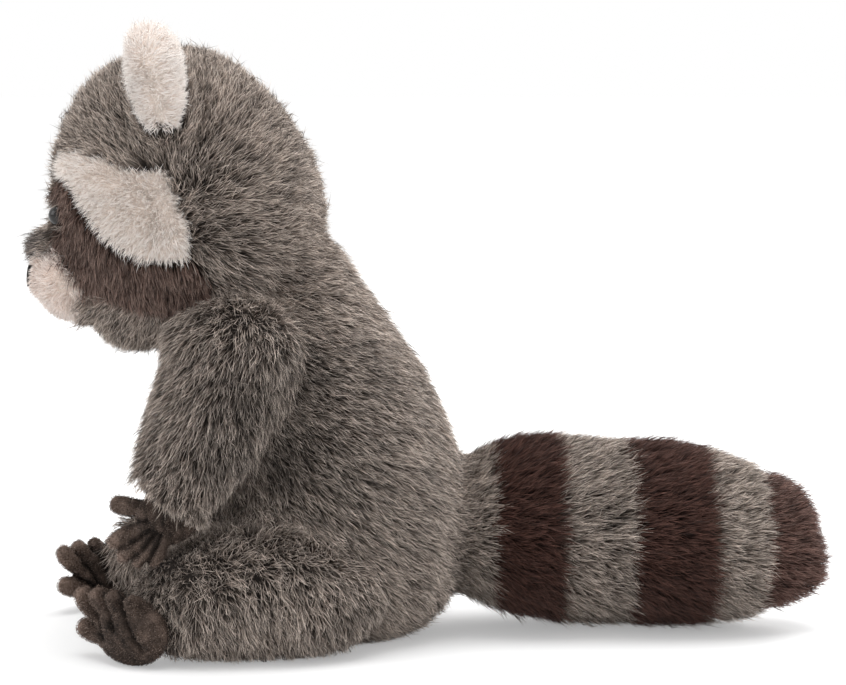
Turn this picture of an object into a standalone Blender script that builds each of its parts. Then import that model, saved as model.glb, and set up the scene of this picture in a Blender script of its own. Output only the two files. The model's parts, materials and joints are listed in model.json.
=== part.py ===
"""Plush raccoon, sitting up, with a fat ringed tail lying behind it.

The toy faces -X and stands on Z = 0. Its left side is at -Y. Every stuffed piece is a solid of the
outer shape of its pile, and pieces that are sewn together are one seat gap apart.
"""
import math
from dataclasses import dataclass, replace

import bmesh
import bpy
from mathutils import Matrix, Vector

SEAT_GAP = 0.0003

EYE_HEIGHT = 0.168

HEAD_FRONT_REACH = 0.0595
HEAD_BACK_REACH = 0.0555
HEAD_CROWN_HEIGHT = 0.068
HEAD_JAW_DEPTH = 0.056
HEAD_WIDTH = 0.120
HEAD_PLACE = Vector((-0.090, 0.0, EYE_HEIGHT))

TORSO_FRONT_REACH = 0.057
TORSO_BACK_REACH = 0.064
TORSO_NECK_HEIGHT = 0.115
TORSO_SEAT_DEPTH = 0.056
TORSO_WIDTH = 0.110
TORSO_PLACE = Vector((-0.045, 0.0, 0.050))

MUZZLE_LENGTH = 0.036
MUZZLE_HEIGHT = 0.036
MUZZLE_WIDTH = 0.052
MUZZLE_DROP = 0.026
MUZZLE_PLACE = Vector((-0.1365, 0.0, EYE_HEIGHT - MUZZLE_DROP))
BRIDGE_LENGTH = 0.034
BRIDGE_THICKNESS = 0.0100
BRIDGE_WIDTH = 0.018
BRIDGE_RISE = 0.45
NOSE_WIDTH = 0.011
NOSE_HEIGHT = 0.0085
NOSE_RELIEF = 0.0012
EYE_DIAMETER = 0.009
EYE_SPACING = 0.034
EYE_RELIEF = 0.0008

PATCH_THICKNESS = 0.0018
MASK_THICKNESS = 0.0010
FOREHEAD_STRIPE_WIDTH = 0.022

EAR_HEIGHT = 0.050
EAR_WIDTH = 0.040
EAR_THICKNESS = 0.0235
EAR_SPACING = 0.082
EAR_RISE = 0.049
EAR_PLACE = Vector((-0.1035, 0.0, EYE_HEIGHT + EAR_RISE))

ARM_LENGTH = 0.097
ARM_DEPTH = 0.056
ARM_WIDTH = 0.040
ARM_LEAN = 0.45
ARM_SPREAD = 0.22
ELBOW_SOFTNESS = 0.008
ARM_PLACE = Vector((-0.078, 0.047, 0.118))
RIGHT_ARM_SETBACK = 0.010
RIGHT_HAND_LIFT = 0.007
SLEEVE_PLACE = Vector((-0.099, 0.0, 0.0595))
SLEEVE_TILT = math.radians(56.0)
SHOULDER_HEIGHT = 0.023

LEG_LENGTH = 0.098
LEG_HEIGHT = 0.053
LEG_SAG = 0.0025
LEG_WIDTH = 0.048
LEG_SPLAY = 0.20
LEG_PLACE = Vector((-0.060, 0.046, 0.027))
RIGHT_LEG_ADVANCE = 0.012

SOLE_WIDTH = 0.035
SOLE_HEIGHT = 0.026
SOLE_THICKNESS = 0.016
SOLE_TURN = math.radians(48.0)
SOLE_PLACE = Vector((-0.1155, 0.056, 0.0128))
TOE_RADIUS = 0.0041
TOE_SPACING = 0.0086
TOE_LENGTH = 0.0165
TOE_LEAN = math.radians(32.0)
TOE_PITCH = math.radians(14.0)
TOE_CROWN = 0.0012
TOE_RISE = 0.0005
GREAT_TOE_LENGTH = 0.0150
GREAT_TOE_LEAN = math.radians(74.0)

PALM_LENGTH = 0.026
PALM_HEIGHT = 0.022
PALM_THICKNESS = 0.013
PALM_PLACE = Vector((-0.1010, 0.057, 0.0570))
FINGER_RADIUS = 0.0037
FINGER_LENGTH = 0.0215
FINGER_FIRST_ANGLE = math.radians(27.0)
FINGER_STEP_ANGLE = math.radians(15.0)
FINGER_FLARE = 0.0027
FINGER_TAPER = 0.0022
THUMB_LENGTH = 0.0190
THUMB_ANGLE = math.radians(-9.0)

TAIL_LENGTH = 0.1645
TAIL_HEIGHT = 0.080
TAIL_WIDTH = 0.076
TAIL_ROOT_DEPTH = 0.080
TAIL_FULLEST = 0.060
TAIL_TIP_HEIGHT = 0.030
TAIL_SWING = -0.14
TAIL_ROOT_X = -0.004
BAND_EDGES = (0.0265, 0.0535, 0.0811, 0.1129, 0.1357)

LEFT = -1
RIGHT = 1
SIDES = {"left": LEFT, "right": RIGHT}

HEAD_SEGMENTS = 28
BODY_SEGMENTS = 24
LIMB_SEGMENTS = 18
SMALL_SEGMENTS = 12
DIGIT_SEGMENTS = 8


@dataclass(frozen=True)
class Form:
    """A stuffed form: rings strung along one axis between the two lines of its side view.

    Along the axis it runs from start by mid, where it is fullest, to end. The side view reaches
    minus and plus to each side of the line (ahead and behind where the axis is Z, down and up where
    it is X). Each pair of powers gives the fullness before and after mid: 2 is an ellipse, more is
    squarer and less is more pointed. Toward the start, lean and spread bend the line in the side
    view and sideways, slope tilts it evenly, and swing turns what lies beyond mid sideways. The nose
    power is the fullness of each ring on its minus side.
    """

    axis: str
    start: float
    mid: float
    end: float
    line: float
    minus: float
    plus: float
    half_width: float
    minus_powers: tuple = (2.0, 2.0)
    plus_powers: tuple = (2.0, 2.0)
    width_powers: tuple = (2.0, 2.0)
    side: float = 0.0
    lean: float = 0.0
    spread: float = 0.0
    slope: float = 0.0
    swing: float = 0.0
    nose_power: float = 2.0

    def grown(self, margin):
        """Return the form with every wall moved out by the margin."""
        return replace(
            self,
            start=self.start - margin,
            end=self.end + margin,
            minus=self.minus + margin,
            plus=self.plus + margin,
            half_width=self.half_width + margin,
        )

    def mirrored(self, side):
        """Return the form set on the given side of the body."""
        return replace(self, side=self.side * side, spread=self.spread * side)

    def turn_at(self, place):
        """Return the ring angle, from -90 to 90 degrees, of a place on the axis."""
        reach = self.end - self.mid if place >= self.mid else self.mid - self.start
        return math.asin(max(-1.0, min(1.0, (place - self.mid) / reach)))

    def ring(self, turn, segments):
        """Return the points of the ring at an angle, or one point at either end."""
        after = 1 if turn >= 0.0 else 0
        reach = self.end - self.mid if after else self.mid - self.start
        share = min(1.0, abs(math.sin(turn)))
        place = self.mid + reach * math.sin(turn)
        low = -self.minus * fullness(share, self.minus_powers[after])
        high = self.plus * fullness(share, self.plus_powers[after])
        half_width = self.half_width * fullness(share, self.width_powers[after])
        before_mid = max(0.0, self.mid - place)
        bend = before_mid * before_mid / (before_mid + ELBOW_SOFTNESS)
        centre = self.line + (low + high) / 2 - self.lean * bend + self.slope * (place - self.mid)
        aside = self.side + self.spread * bend + self.swing * max(0.0, place - self.mid)
        if share > 1.0 - 1e-6:
            return [self.point(place, centre, aside)]
        angles = [2 * math.pi * index / segments for index in range(segments)]
        return [
            self.point(
                place,
                centre + (high - low) / 2 * self.rounded(math.cos(angle), math.cos(angle)),
                aside + half_width * self.rounded(math.sin(angle), math.cos(angle)),
            )
            for angle in angles
        ]

    def rounded(self, share, facing):
        """Return a sine or cosine of a ring, drawn out to the nose power on the minus side."""
        if facing >= 0.0:
            return share
        return math.copysign(abs(share) ** (2.0 / self.nose_power), share)

    def point(self, place, across, aside):
        """Return the point at a place on the axis, across it in the side view and aside."""
        if self.axis == "Z":
            return Vector((across, aside, place))
        return Vector((place, aside, across))


def fullness(share, power):
    """Return the half height of a superellipse at a share of its half length."""
    return max(0.0, 1.0 - share**power) ** (1.0 / power)


HEAD = Form(
    axis="Z",
    start=HEAD_PLACE.z - HEAD_JAW_DEPTH,
    mid=HEAD_PLACE.z,
    end=HEAD_PLACE.z + HEAD_CROWN_HEIGHT,
    line=HEAD_PLACE.x,
    minus=HEAD_FRONT_REACH,
    plus=HEAD_BACK_REACH,
    half_width=HEAD_WIDTH / 2,
    minus_powers=(2.4, 2.6),
    plus_powers=(2.2, 1.59),
    width_powers=(2.1, 2.2),
    nose_power=1.7,
)

TORSO = Form(
    axis="Z",
    start=TORSO_PLACE.z - TORSO_SEAT_DEPTH,
    mid=TORSO_PLACE.z,
    end=TORSO_PLACE.z + TORSO_NECK_HEIGHT,
    line=TORSO_PLACE.x,
    minus=TORSO_FRONT_REACH,
    plus=TORSO_BACK_REACH,
    half_width=TORSO_WIDTH / 2,
    minus_powers=(2.6, 2.0),
    plus_powers=(2.6, 1.33),
    width_powers=(2.6, 2.2),
)

MUZZLE = Form(
    axis="X",
    start=MUZZLE_PLACE.x - MUZZLE_LENGTH / 2,
    mid=MUZZLE_PLACE.x,
    end=MUZZLE_PLACE.x + MUZZLE_LENGTH / 2,
    line=MUZZLE_PLACE.z,
    minus=MUZZLE_HEIGHT / 2,
    plus=MUZZLE_HEIGHT / 2,
    half_width=MUZZLE_WIDTH / 2,
    width_powers=(2.2, 2.2),
)

BRIDGE_MID = MUZZLE.start + BRIDGE_LENGTH * 0.42
BRIDGE = Form(
    axis="X",
    start=BRIDGE_MID - BRIDGE_LENGTH / 2,
    mid=BRIDGE_MID,
    end=BRIDGE_MID + BRIDGE_LENGTH / 2,
    line=MUZZLE_PLACE.z + MUZZLE_HEIGHT / 2 + BRIDGE_THICKNESS * 0.25,
    minus=BRIDGE_THICKNESS / 2,
    plus=BRIDGE_THICKNESS / 2,
    half_width=BRIDGE_WIDTH / 2,
    minus_powers=(2.6, 3.0),
    plus_powers=(2.6, 3.0),
    width_powers=(2.6, 3.0),
    slope=BRIDGE_RISE,
)

EAR = Form(
    axis="Z",
    start=EAR_PLACE.z - EAR_HEIGHT / 2,
    mid=EAR_PLACE.z,
    end=EAR_PLACE.z + EAR_HEIGHT / 2,
    line=EAR_PLACE.x,
    minus=EAR_THICKNESS / 2,
    plus=EAR_THICKNESS / 2,
    half_width=EAR_WIDTH / 2,
    minus_powers=(3.0, 3.0),
    plus_powers=(3.0, 3.0),
    width_powers=(2.4, 2.4),
    side=EAR_SPACING / 2,
    slope=-0.15,
)

ARM = Form(
    axis="Z",
    start=ARM_PLACE.z + SHOULDER_HEIGHT - ARM_LENGTH,
    mid=ARM_PLACE.z,
    end=ARM_PLACE.z + SHOULDER_HEIGHT,
    line=ARM_PLACE.x,
    minus=ARM_DEPTH * 0.48,
    plus=ARM_DEPTH * 0.52,
    half_width=ARM_WIDTH / 2,
    minus_powers=(2.0, 2.0),
    plus_powers=(2.2, 2.0),
    width_powers=(2.2, 2.0),
    side=ARM_PLACE.y,
    lean=ARM_LEAN,
    spread=ARM_SPREAD,
)

LEG = Form(
    axis="X",
    start=LEG_PLACE.x - LEG_LENGTH * 0.60,
    mid=LEG_PLACE.x,
    end=LEG_PLACE.x + LEG_LENGTH * 0.42,
    line=LEG_PLACE.z,
    minus=LEG_HEIGHT / 2 + LEG_SAG,
    plus=LEG_HEIGHT / 2,
    half_width=LEG_WIDTH / 2,
    minus_powers=(2.6, 2.2),
    plus_powers=(1.9, 1.6),
    width_powers=(2.2, 2.0),
    side=LEG_PLACE.y,
    spread=LEG_SPLAY,
)

TAIL = Form(
    axis="X",
    start=TAIL_FULLEST - TAIL_ROOT_DEPTH,
    mid=TAIL_FULLEST,
    end=TAIL_LENGTH,
    line=TAIL_TIP_HEIGHT,
    minus=TAIL_TIP_HEIGHT,
    plus=TAIL_HEIGHT - TAIL_TIP_HEIGHT,
    half_width=TAIL_WIDTH / 2,
    minus_powers=(1.3, 3.6),
    plus_powers=(2.0, 2.2),
    width_powers=(2.0, 2.4),
    swing=TAIL_SWING,
)

SOLE_FORWARD = Vector((-math.cos(SOLE_TURN), math.sin(SOLE_TURN), 0.0))
SLEEVE_FORWARD = Vector((-math.cos(SLEEVE_TILT), 0.0, -math.sin(SLEEVE_TILT)))

# Side view, from the middle of the head, of the cream patch that sweeps from the brow over the cheek
PATCH_OUTLINE = (
    (-0.0680, 0.0255),
    (-0.0470, 0.0255),
    (-0.0250, 0.0188),
    (-0.0120, 0.0188),
    (-0.0085, 0.0080),
    (-0.0030, -0.0070),
    (-0.0045, -0.0155),
    (-0.0215, -0.0158),
    (-0.0370, -0.0075),
    (-0.0465, 0.0055),
    (-0.0530, 0.0150),
    (-0.0680, 0.0165),
)

# Side view of the brown mask below it, from the brow over the cheek to the muzzle
MASK_OUTLINE = (
    (-0.0680, 0.0170),
    (-0.0460, 0.0170),
    (-0.0200, -0.0060),
    (-0.0030, -0.0140),
    (0.0050, -0.0220),
    (0.0055, -0.0310),
    (-0.0035, -0.0368),
    (-0.0180, -0.0375),
    (-0.0300, -0.0350),
    (-0.0435, -0.0310),
    (-0.0680, -0.0230),
)


@dataclass(frozen=True)
class Finish:
    """Colour and roughness of one material."""

    name: str
    colour: tuple
    roughness: float


GREY_PILE = Finish("grey_pile", (0.135, 0.112, 0.096), 0.9)
BROWN_PILE = Finish("brown_pile", (0.070, 0.040, 0.028), 0.9)
CREAM_PILE = Finish("cream_pile", (0.68, 0.58, 0.50), 0.9)
SUEDE = Finish("brown_suede", (0.062, 0.044, 0.034), 0.85)
BLACK_THREAD = Finish("black_thread", (0.012, 0.011, 0.011), 0.6)
EYE_GLOSS = Finish("eye_gloss", (0.010, 0.008, 0.007), 0.12)


def clear_scene():
    """Remove every object of the open file."""
    for item in list(bpy.data.objects):
        bpy.data.objects.remove(item, do_unlink=True)


def material(finish):
    """Return the material of a finish, made once."""
    found = bpy.data.materials.get(finish.name)
    if found:
        return found
    made = bpy.data.materials.new(finish.name)
    made.use_nodes = True
    shader = made.node_tree.nodes["Principled BSDF"]
    shader.inputs["Base Color"].default_value = (*finish.colour, 1.0)
    shader.inputs["Roughness"].default_value = finish.roughness
    shader.inputs["Metallic"].default_value = 0.0
    made.diffuse_color = (*finish.colour, 1.0)
    return made


def add_object(name, shape, finish=None):
    """Make an object of a bmesh, which is freed; without a finish it is a cutter.

    Args:
        name: the object's name.
        shape: a closed bmesh in world coordinates.
        finish: the Finish of a real piece, or None.

    Returns:
        The new object.
    """
    bmesh.ops.recalc_face_normals(shape, faces=shape.faces)
    data = bpy.data.meshes.new(name)
    shape.to_mesh(data)
    shape.free()
    data.shade_smooth()
    made = bpy.data.objects.new(name, data)
    bpy.context.scene.collection.objects.link(made)
    if finish:
        data.materials.append(material(finish))
    else:
        made.hide_render = True
        made.display_type = "WIRE"
    return made


def combine(target, tool, operation):
    """Add a Boolean modifier to the target."""
    step = target.modifiers.new(f"{operation.lower()}_{tool.name}", "BOOLEAN")
    step.operation = operation
    step.solver = "EXACT"
    step.object = tool


def cut(target, *tools):
    """Cut each tool out of the target."""
    for tool in tools:
        combine(target, tool, "DIFFERENCE")


def strung(rings):
    """Return a bmesh skinned over rings of points; a ring of one point is a pole.

    Args:
        rings: lists of points, of one length apart from poles at the ends.
    """
    shape = bmesh.new()
    made = [[shape.verts.new(point) for point in ring] for ring in rings]
    for first, second in zip(made, made[1:]):
        count = max(len(first), len(second))
        for index in range(count):
            after = (index + 1) % count
            corners = [first[index % len(first)], first[after % len(first)]]
            corners += [second[after % len(second)], second[index % len(second)]]
            shape.faces.new(list(dict.fromkeys(corners)))
    for end in (made[0], made[-1]):
        if len(end) > 1:
            shape.faces.new(end)
    return shape


def flattened(shape):
    """Cut a bmesh flat at the floor and return it."""
    everything = shape.verts[:] + shape.edges[:] + shape.faces[:]
    cut_through = bmesh.ops.bisect_plane(
        shape, geom=everything, plane_co=(0, 0, 0), plane_no=(0, 0, -1), clear_outer=True
    )
    rim = [item for item in cut_through["geom_cut"] if isinstance(item, bmesh.types.BMEdge)]
    if rim:
        bmesh.ops.edgeloop_fill(shape, edges=rim)
    return shape


def form_shape(form, steps, segments, first=None, last=None):
    """Return the bmesh of a form, or of the stretch of it from first to last.

    Args:
        form: the Form.
        steps: gaps between its rings.
        segments: points round a ring.
        first: where a stretch starts on the axis, or None for the form's start.
        last: where it ends, or None for the form's end.
    """
    begin = -math.pi / 2 if first is None else form.turn_at(first)
    finish = math.pi / 2 if last is None else form.turn_at(last)
    turns = [begin + (finish - begin) * step / steps for step in range(steps + 1)]
    return strung([form.ring(turn, segments) for turn in turns])


def prism(outline, near, far):
    """Return a bmesh of a side-view outline drawn out sideways from near to far."""
    return strung([[Vector((x, y, z)) for x, z in outline] for y in (near, far)])


def smooth_outline(corners, steps=4):
    """Return a closed outline with a Catmull-Rom curve through its corners."""
    count = len(corners)
    smoothed = []
    for index in range(count):
        before, here, after, beyond = (Vector(corners[(index + shift) % count]) for shift in (-1, 0, 1, 2))
        for step in range(steps):
            t = step / steps
            smoothed.append(
                0.5
                * (
                    2 * here
                    + (after - before) * t
                    + (2 * before - 5 * here + 4 * after - beyond) * t * t
                    + (3 * here - before - 3 * after + beyond) * t * t * t
                )
            )
    return smoothed


def moved_out(outline, margin):
    """Return a closed outline with each point moved out by the margin."""
    count = len(outline)
    area = sum(
        outline[index - 1].x * outline[index].y - outline[index].x * outline[index - 1].y
        for index in range(count)
    )
    outward = 1.0 if area > 0 else -1.0
    moved = []
    for index in range(count):
        along = (outline[(index + 1) % count] - outline[index - 1]).normalized()
        moved.append(outline[index] + Vector((along.y, -along.x)) * margin * outward)
    return moved


def ball(centre, axes, segments, rings):
    """Return a bmesh of an ellipsoid whose half axes are three vectors."""
    shape = bmesh.new()
    frame = Matrix.Identity(4)
    for column, axis in enumerate(axes):
        for row in range(3):
            frame[row][column] = axis[row]
    frame.translation = centre
    bmesh.ops.create_uvsphere(
        shape, u_segments=segments, v_segments=rings, radius=1.0, matrix=frame
    )
    return shape


def digit(root, tip, radius):
    """Return a bmesh of a finger or toe with a round tip, slimmer at its root."""
    along = tip - root
    length = along.length + radius
    turn = along.to_track_quat("Z", "Y")
    rings = []
    for share in (0.0, 0.35, 0.7):
        rings.append((share * (length - radius), radius * (0.80 + 0.20 * share / 0.7)))
    for angle in (0, 30, 60):
        place = length - radius + radius * math.sin(math.radians(angle))
        rings.append((place, radius * math.cos(math.radians(angle))))
    circles = [
        [
            root
            + turn
            @ Vector(
                (
                    size * math.cos(2 * math.pi * index / DIGIT_SEGMENTS),
                    size * math.sin(2 * math.pi * index / DIGIT_SEGMENTS),
                    place,
                )
            )
            for index in range(DIGIT_SEGMENTS)
        ]
        for place, size in rings
    ]
    return strung(circles + [[root + turn @ Vector((0, 0, length))]])


def half_space(name, place, forward, reach):
    """Return a cutter that fills what lies ahead of a plane.

    Args:
        name: the cutter's name.
        place: a point on the plane.
        forward: the way it faces, a unit vector.
        reach: how far the cutter goes each way.
    """
    turn = forward.to_track_quat("Z", "Y")
    corners = ((-1, -1), (1, -1), (1, 1), (-1, 1))
    ends = [
        [place + turn @ Vector((x * reach, y * reach, depth)) for x, y in corners]
        for depth in (0.0, reach)
    ]
    return add_object(name, strung(ends))


def across(vector, side):
    """Return a vector given for the right side, set on the given side."""
    return Vector((vector.x, vector.y * side, vector.z))


def build_head():
    """Build the head and return it."""
    return add_object("head", form_shape(HEAD, 16, HEAD_SEGMENTS), GREY_PILE)


def build_torso(head_room):
    """Build the torso, flat where it sits and hollowed for the head."""
    torso = add_object("torso", flattened(form_shape(TORSO, 18, BODY_SEGMENTS)), GREY_PILE)
    cut(torso, head_room)


def build_muzzle(head_room):
    """Build the muzzle, the grey bridge on it and the stitched nose, and return the cutters."""
    muzzle_room = add_object(
        "muzzle_room", form_shape(MUZZLE.grown(SEAT_GAP), 12, BODY_SEGMENTS)
    )
    bridge_room = add_object(
        "bridge_room", form_shape(BRIDGE.grown(SEAT_GAP), 10, SMALL_SEGMENTS)
    )
    muzzle = add_object("muzzle", form_shape(MUZZLE, 12, BODY_SEGMENTS), CREAM_PILE)
    cut(muzzle, head_room)
    bridge = add_object("snout_bridge", form_shape(BRIDGE, 10, SMALL_SEGMENTS), GREY_PILE)
    cut(bridge, head_room, muzzle_room)

    nose_depth = NOSE_RELIEF + SEAT_GAP
    nose_form = MUZZLE.grown(nose_depth)
    middle = MUZZLE_PLACE.z + NOSE_HEIGHT * 0.18
    corners = (
        (-NOSE_WIDTH / 2, NOSE_HEIGHT / 2),
        (NOSE_WIDTH / 2, NOSE_HEIGHT / 2),
        (NOSE_WIDTH * 0.22, -NOSE_HEIGHT * 0.35),
        (0.0, -NOSE_HEIGHT / 2),
        (-NOSE_WIDTH * 0.22, -NOSE_HEIGHT * 0.35),
    )
    outline = smooth_outline(corners)
    back = MUZZLE.start + MUZZLE_LENGTH * 0.2
    front = nose_form.start - SEAT_GAP
    ends = [[Vector((x, point.x, middle + point.y)) for point in outline] for x in (front, back)]
    nose = add_object("nose", strung(ends), BLACK_THREAD)
    nose_skin = add_object("nose_skin", form_shape(nose_form, 12, BODY_SEGMENTS))
    combine(nose, nose_skin, "INTERSECT")
    cut(nose, muzzle_room)
    return muzzle_room, bridge_room


def eye_place(side):
    """Return the centre of an eye, sunk so that it stands out of the head by its relief."""
    aside = EYE_SPACING / 2
    share = (EYE_HEIGHT - HEAD.mid) / (HEAD.end - HEAD.mid)
    half_width = HEAD.half_width * fullness(abs(share), HEAD.width_powers[1])
    depth = fullness(aside / half_width, 2.0)
    middle = HEAD.line + (HEAD.plus - HEAD.minus) / 2
    surface = middle - (HEAD.plus + HEAD.minus) / 2 * depth
    return Vector((surface - EYE_RELIEF + EYE_DIAMETER / 2, aside * side, EYE_HEIGHT))


def build_eyes(head):
    """Build the two eyes in their sockets and return the cutters by side."""
    rooms = {}
    for name, side in SIDES.items():
        centre = eye_place(side)
        radius = EYE_DIAMETER / 2
        axes = [Vector(axis) for axis in ((1, 0, 0), (0, 1, 0), (0, 0, 1))]
        small = [axis * radius for axis in axes]
        large = [axis * (radius + SEAT_GAP) for axis in axes]
        add_object(f"eye_{name}", ball(centre, small, SMALL_SEGMENTS, 8), EYE_GLOSS)
        rooms[side] = add_object(f"eye_room_{name}", ball(centre, large, SMALL_SEGMENTS, 8))
        cut(head, rooms[side])
    return rooms


def set_on_head(outline):
    """Return a side view given from the middle of the head, set in its place."""
    return [(HEAD_PLACE.x + along, HEAD_PLACE.z + up) for along, up in outline]


def build_face(head_room, muzzle_room, bridge_room, eye_rooms, arm_rooms):
    """Build the cream patch and the brown mask of each side as layers on the head."""
    patch_outline = smooth_outline(set_on_head(PATCH_OUTLINE))
    mask_outline = smooth_outline(set_on_head(MASK_OUTLINE))
    inner = FOREHEAD_STRIPE_WIDTH / 2
    outer = HEAD_WIDTH
    patch_skin = add_object(
        "patch_skin", form_shape(HEAD.grown(PATCH_THICKNESS + SEAT_GAP), 16, HEAD_SEGMENTS)
    )
    mask_skin = add_object(
        "mask_skin", form_shape(HEAD.grown(MASK_THICKNESS + SEAT_GAP), 16, HEAD_SEGMENTS)
    )
    for name, side in SIDES.items():
        patch = add_object(
            f"cheek_patch_{name}", prism(patch_outline, inner * side, outer * side), CREAM_PILE
        )
        combine(patch, patch_skin, "INTERSECT")
        cut(patch, head_room)
        patch_room = add_object(
            f"patch_room_{name}",
            prism(moved_out(patch_outline, SEAT_GAP), inner * side * 0.5, outer * side * 1.2),
        )
        mask = add_object(
            f"mask_{name}", prism(mask_outline, inner * side, outer * side), BROWN_PILE
        )
        combine(mask, mask_skin, "INTERSECT")
        cut(mask, head_room, patch_room, muzzle_room, bridge_room)
        cut(mask, eye_rooms[side], arm_rooms[side])


def build_ears(head_room):
    """Build the two cream ears, standing out of the crown."""
    for name, side in SIDES.items():
        ear_form = EAR.mirrored(side)
        ear = add_object(f"ear_{name}", form_shape(ear_form, 12, LIMB_SEGMENTS), CREAM_PILE)
        cut(ear, head_room)


def leg_form(side, margin=0.0):
    """Return the form of a leg, where the right one lies a little further forward."""
    advance = RIGHT_LEG_ADVANCE if side == RIGHT else 0.0
    form = LEG.mirrored(side).grown(margin)
    return replace(form, start=form.start - advance, mid=form.mid - advance)


def sole_place(side):
    """Return the centre of a sole."""
    advance = RIGHT_LEG_ADVANCE if side == RIGHT else 0.0
    return across(SOLE_PLACE, side) - Vector((advance, 0, 0))


def build_legs(torso_room):
    """Build the two legs, cut off where their soles seat, and return the cutters by side."""
    rooms = {}
    for name, side in SIDES.items():
        leg = add_object(
            f"leg_{name}", flattened(form_shape(leg_form(side), 16, LIMB_SEGMENTS)), GREY_PILE
        )
        forward = across(SOLE_FORWARD, side)
        seam = sole_place(side) - forward * SOLE_THICKNESS * 0.25
        front = half_space(f"leg_front_{name}", seam, forward, LEG_LENGTH)
        rooms[side] = add_object(
            f"leg_room_{name}", form_shape(leg_form(side, SEAT_GAP), 16, LIMB_SEGMENTS)
        )
        cut(leg, torso_room, front)
    return rooms


def arm_form(side, margin=0.0):
    """Return the form of an arm, where the right one lies a little further back."""
    form = ARM.mirrored(side).grown(margin)
    return replace(form, line=form.line + hand_shift(side).x)


def hand_shift(side):
    """Return how far a hand lies from the left one's place: the right one is drawn back and up."""
    if side == RIGHT:
        return Vector((RIGHT_ARM_SETBACK, 0, RIGHT_HAND_LIFT))
    return Vector((0, 0, 0))


def sleeve_place(side):
    """Return a point on the seam where the arm's pile ends and the hand begins."""
    return SLEEVE_PLACE + hand_shift(side)


def build_arms(head_room, torso_room, leg_rooms):
    """Build the two arms and return the cutters by side."""
    rooms = {}
    for name, side in SIDES.items():
        arm = add_object(
            f"arm_{name}", form_shape(arm_form(side), 16, LIMB_SEGMENTS), GREY_PILE
        )
        beyond = half_space(
            f"arm_end_{name}", sleeve_place(side), SLEEVE_FORWARD, ARM_LENGTH
        )
        cut(arm, torso_room, head_room, leg_rooms[side], beyond)
        rooms[side] = add_object(
            f"arm_room_{name}", form_shape(arm_form(side, SEAT_GAP), 16, LIMB_SEGMENTS)
        )
    return rooms


def build_paw(name, pad, digits, radius, rooms):
    """Build a paw: a pad joined with its five digits, cut by what it seats in."""
    paw = add_object(name, flattened(pad), SUEDE)
    for index, (root, tip) in enumerate(digits):
        tool = add_object(f"{name}_digit_{index}", flattened(digit(root, tip, radius)))
        combine(paw, tool, "UNION")
    cut(paw, *rooms)


def build_hands(torso_room, leg_rooms):
    """Build the two hands, their four fingers and thumb fanned out from the palm."""
    for name, side in SIDES.items():
        centre = across(PALM_PLACE, side) + hand_shift(side)
        axes = [
            Vector((-math.cos(FINGER_FIRST_ANGLE), 0, -math.sin(FINGER_FIRST_ANGLE))) * PALM_LENGTH / 2,
            Vector((0, side, 0)) * PALM_THICKNESS / 2,
            Vector((math.sin(FINGER_FIRST_ANGLE), 0, -math.cos(FINGER_FIRST_ANGLE))) * PALM_HEIGHT / 2,
        ]
        digits = []
        for index in range(4):
            angle = FINGER_FIRST_ANGLE + index * FINGER_STEP_ANGLE
            length = FINGER_LENGTH - FINGER_TAPER * max(0, index - 1)
            way = Vector((-math.cos(angle), 0, -math.sin(angle)))
            flare = Vector((0, side * (index - 1.5) * FINGER_FLARE, 0))
            digits.append((centre + way * length * 0.25 + flare * 0.5, centre + way * length + flare))
        way = Vector((-math.cos(THUMB_ANGLE), 0, -math.sin(THUMB_ANGLE)))
        inward = Vector((0, -side * PALM_THICKNESS * 0.7, 0))
        digits.append((centre + inward * 0.3, centre + way * THUMB_LENGTH + inward))
        seam = sleeve_place(side) + SLEEVE_FORWARD * SEAT_GAP
        sleeve = half_space(f"hand_back_{name}", seam, -SLEEVE_FORWARD, ARM_LENGTH)
        rooms = [sleeve, torso_room, leg_rooms[side]]
        pad = ball(centre, axes, SMALL_SEGMENTS, 8)
        build_paw(f"hand_{name}", pad, digits, FINGER_RADIUS, rooms)


def build_feet():
    """Build the two feet, their four toes and great toe leaning inward over the sole."""
    for name, side in SIDES.items():
        centre = sole_place(side)
        outward = across(Vector((math.sin(SOLE_TURN), math.cos(SOLE_TURN), 0)), side)
        forward = across(SOLE_FORWARD, side)
        upward = Vector((0, 0, 1))
        axes = [outward * SOLE_WIDTH / 2, forward * SOLE_THICKNESS / 2, upward * SOLE_HEIGHT / 2]
        lean = upward * math.cos(TOE_LEAN) - outward * math.sin(TOE_LEAN) + forward * math.tan(TOE_PITCH)
        digits = []
        for index in range(4):
            middle = 1.5 - abs(index - 1.5)
            root = centre + outward * (TOE_SPACING * (index - 1.7)) + upward * TOE_RISE
            digits.append((root, root + lean * (TOE_LENGTH - TOE_RADIUS + TOE_CROWN * middle)))
        low = upward * math.cos(GREAT_TOE_LEAN) - outward * math.sin(GREAT_TOE_LEAN)
        root = centre - outward * SOLE_WIDTH * 0.36 - upward * SOLE_HEIGHT * 0.18
        digits.append((root, root + low * (GREAT_TOE_LENGTH - TOE_RADIUS)))
        pad = ball(centre, axes, 18, 12)
        seam = centre - forward * (SOLE_THICKNESS * 0.25 - SEAT_GAP)
        behind = half_space(f"foot_back_{name}", seam, -forward, LEG_LENGTH)
        build_paw(f"foot_{name}", pad, digits, TOE_RADIUS, [behind])


def build_tail(torso_room):
    """Build the tail as a row of bands, grey and brown by turns, from the rump to the tip."""
    edges = (TAIL_ROOT_X, *BAND_EDGES, None)
    for index in range(len(edges) - 1):
        finish = BROWN_PILE if index % 2 else GREY_PILE
        first = edges[index] + SEAT_GAP / 2
        last = None if edges[index + 1] is None else edges[index + 1] - SEAT_GAP / 2
        steps = 3 if last else 6
        shape = form_shape(TAIL, steps, BODY_SEGMENTS, first, last)
        band = add_object(f"tail_band_{index + 1}", flattened(shape), finish)
        if index == 0:
            cut(band, torso_room)


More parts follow.
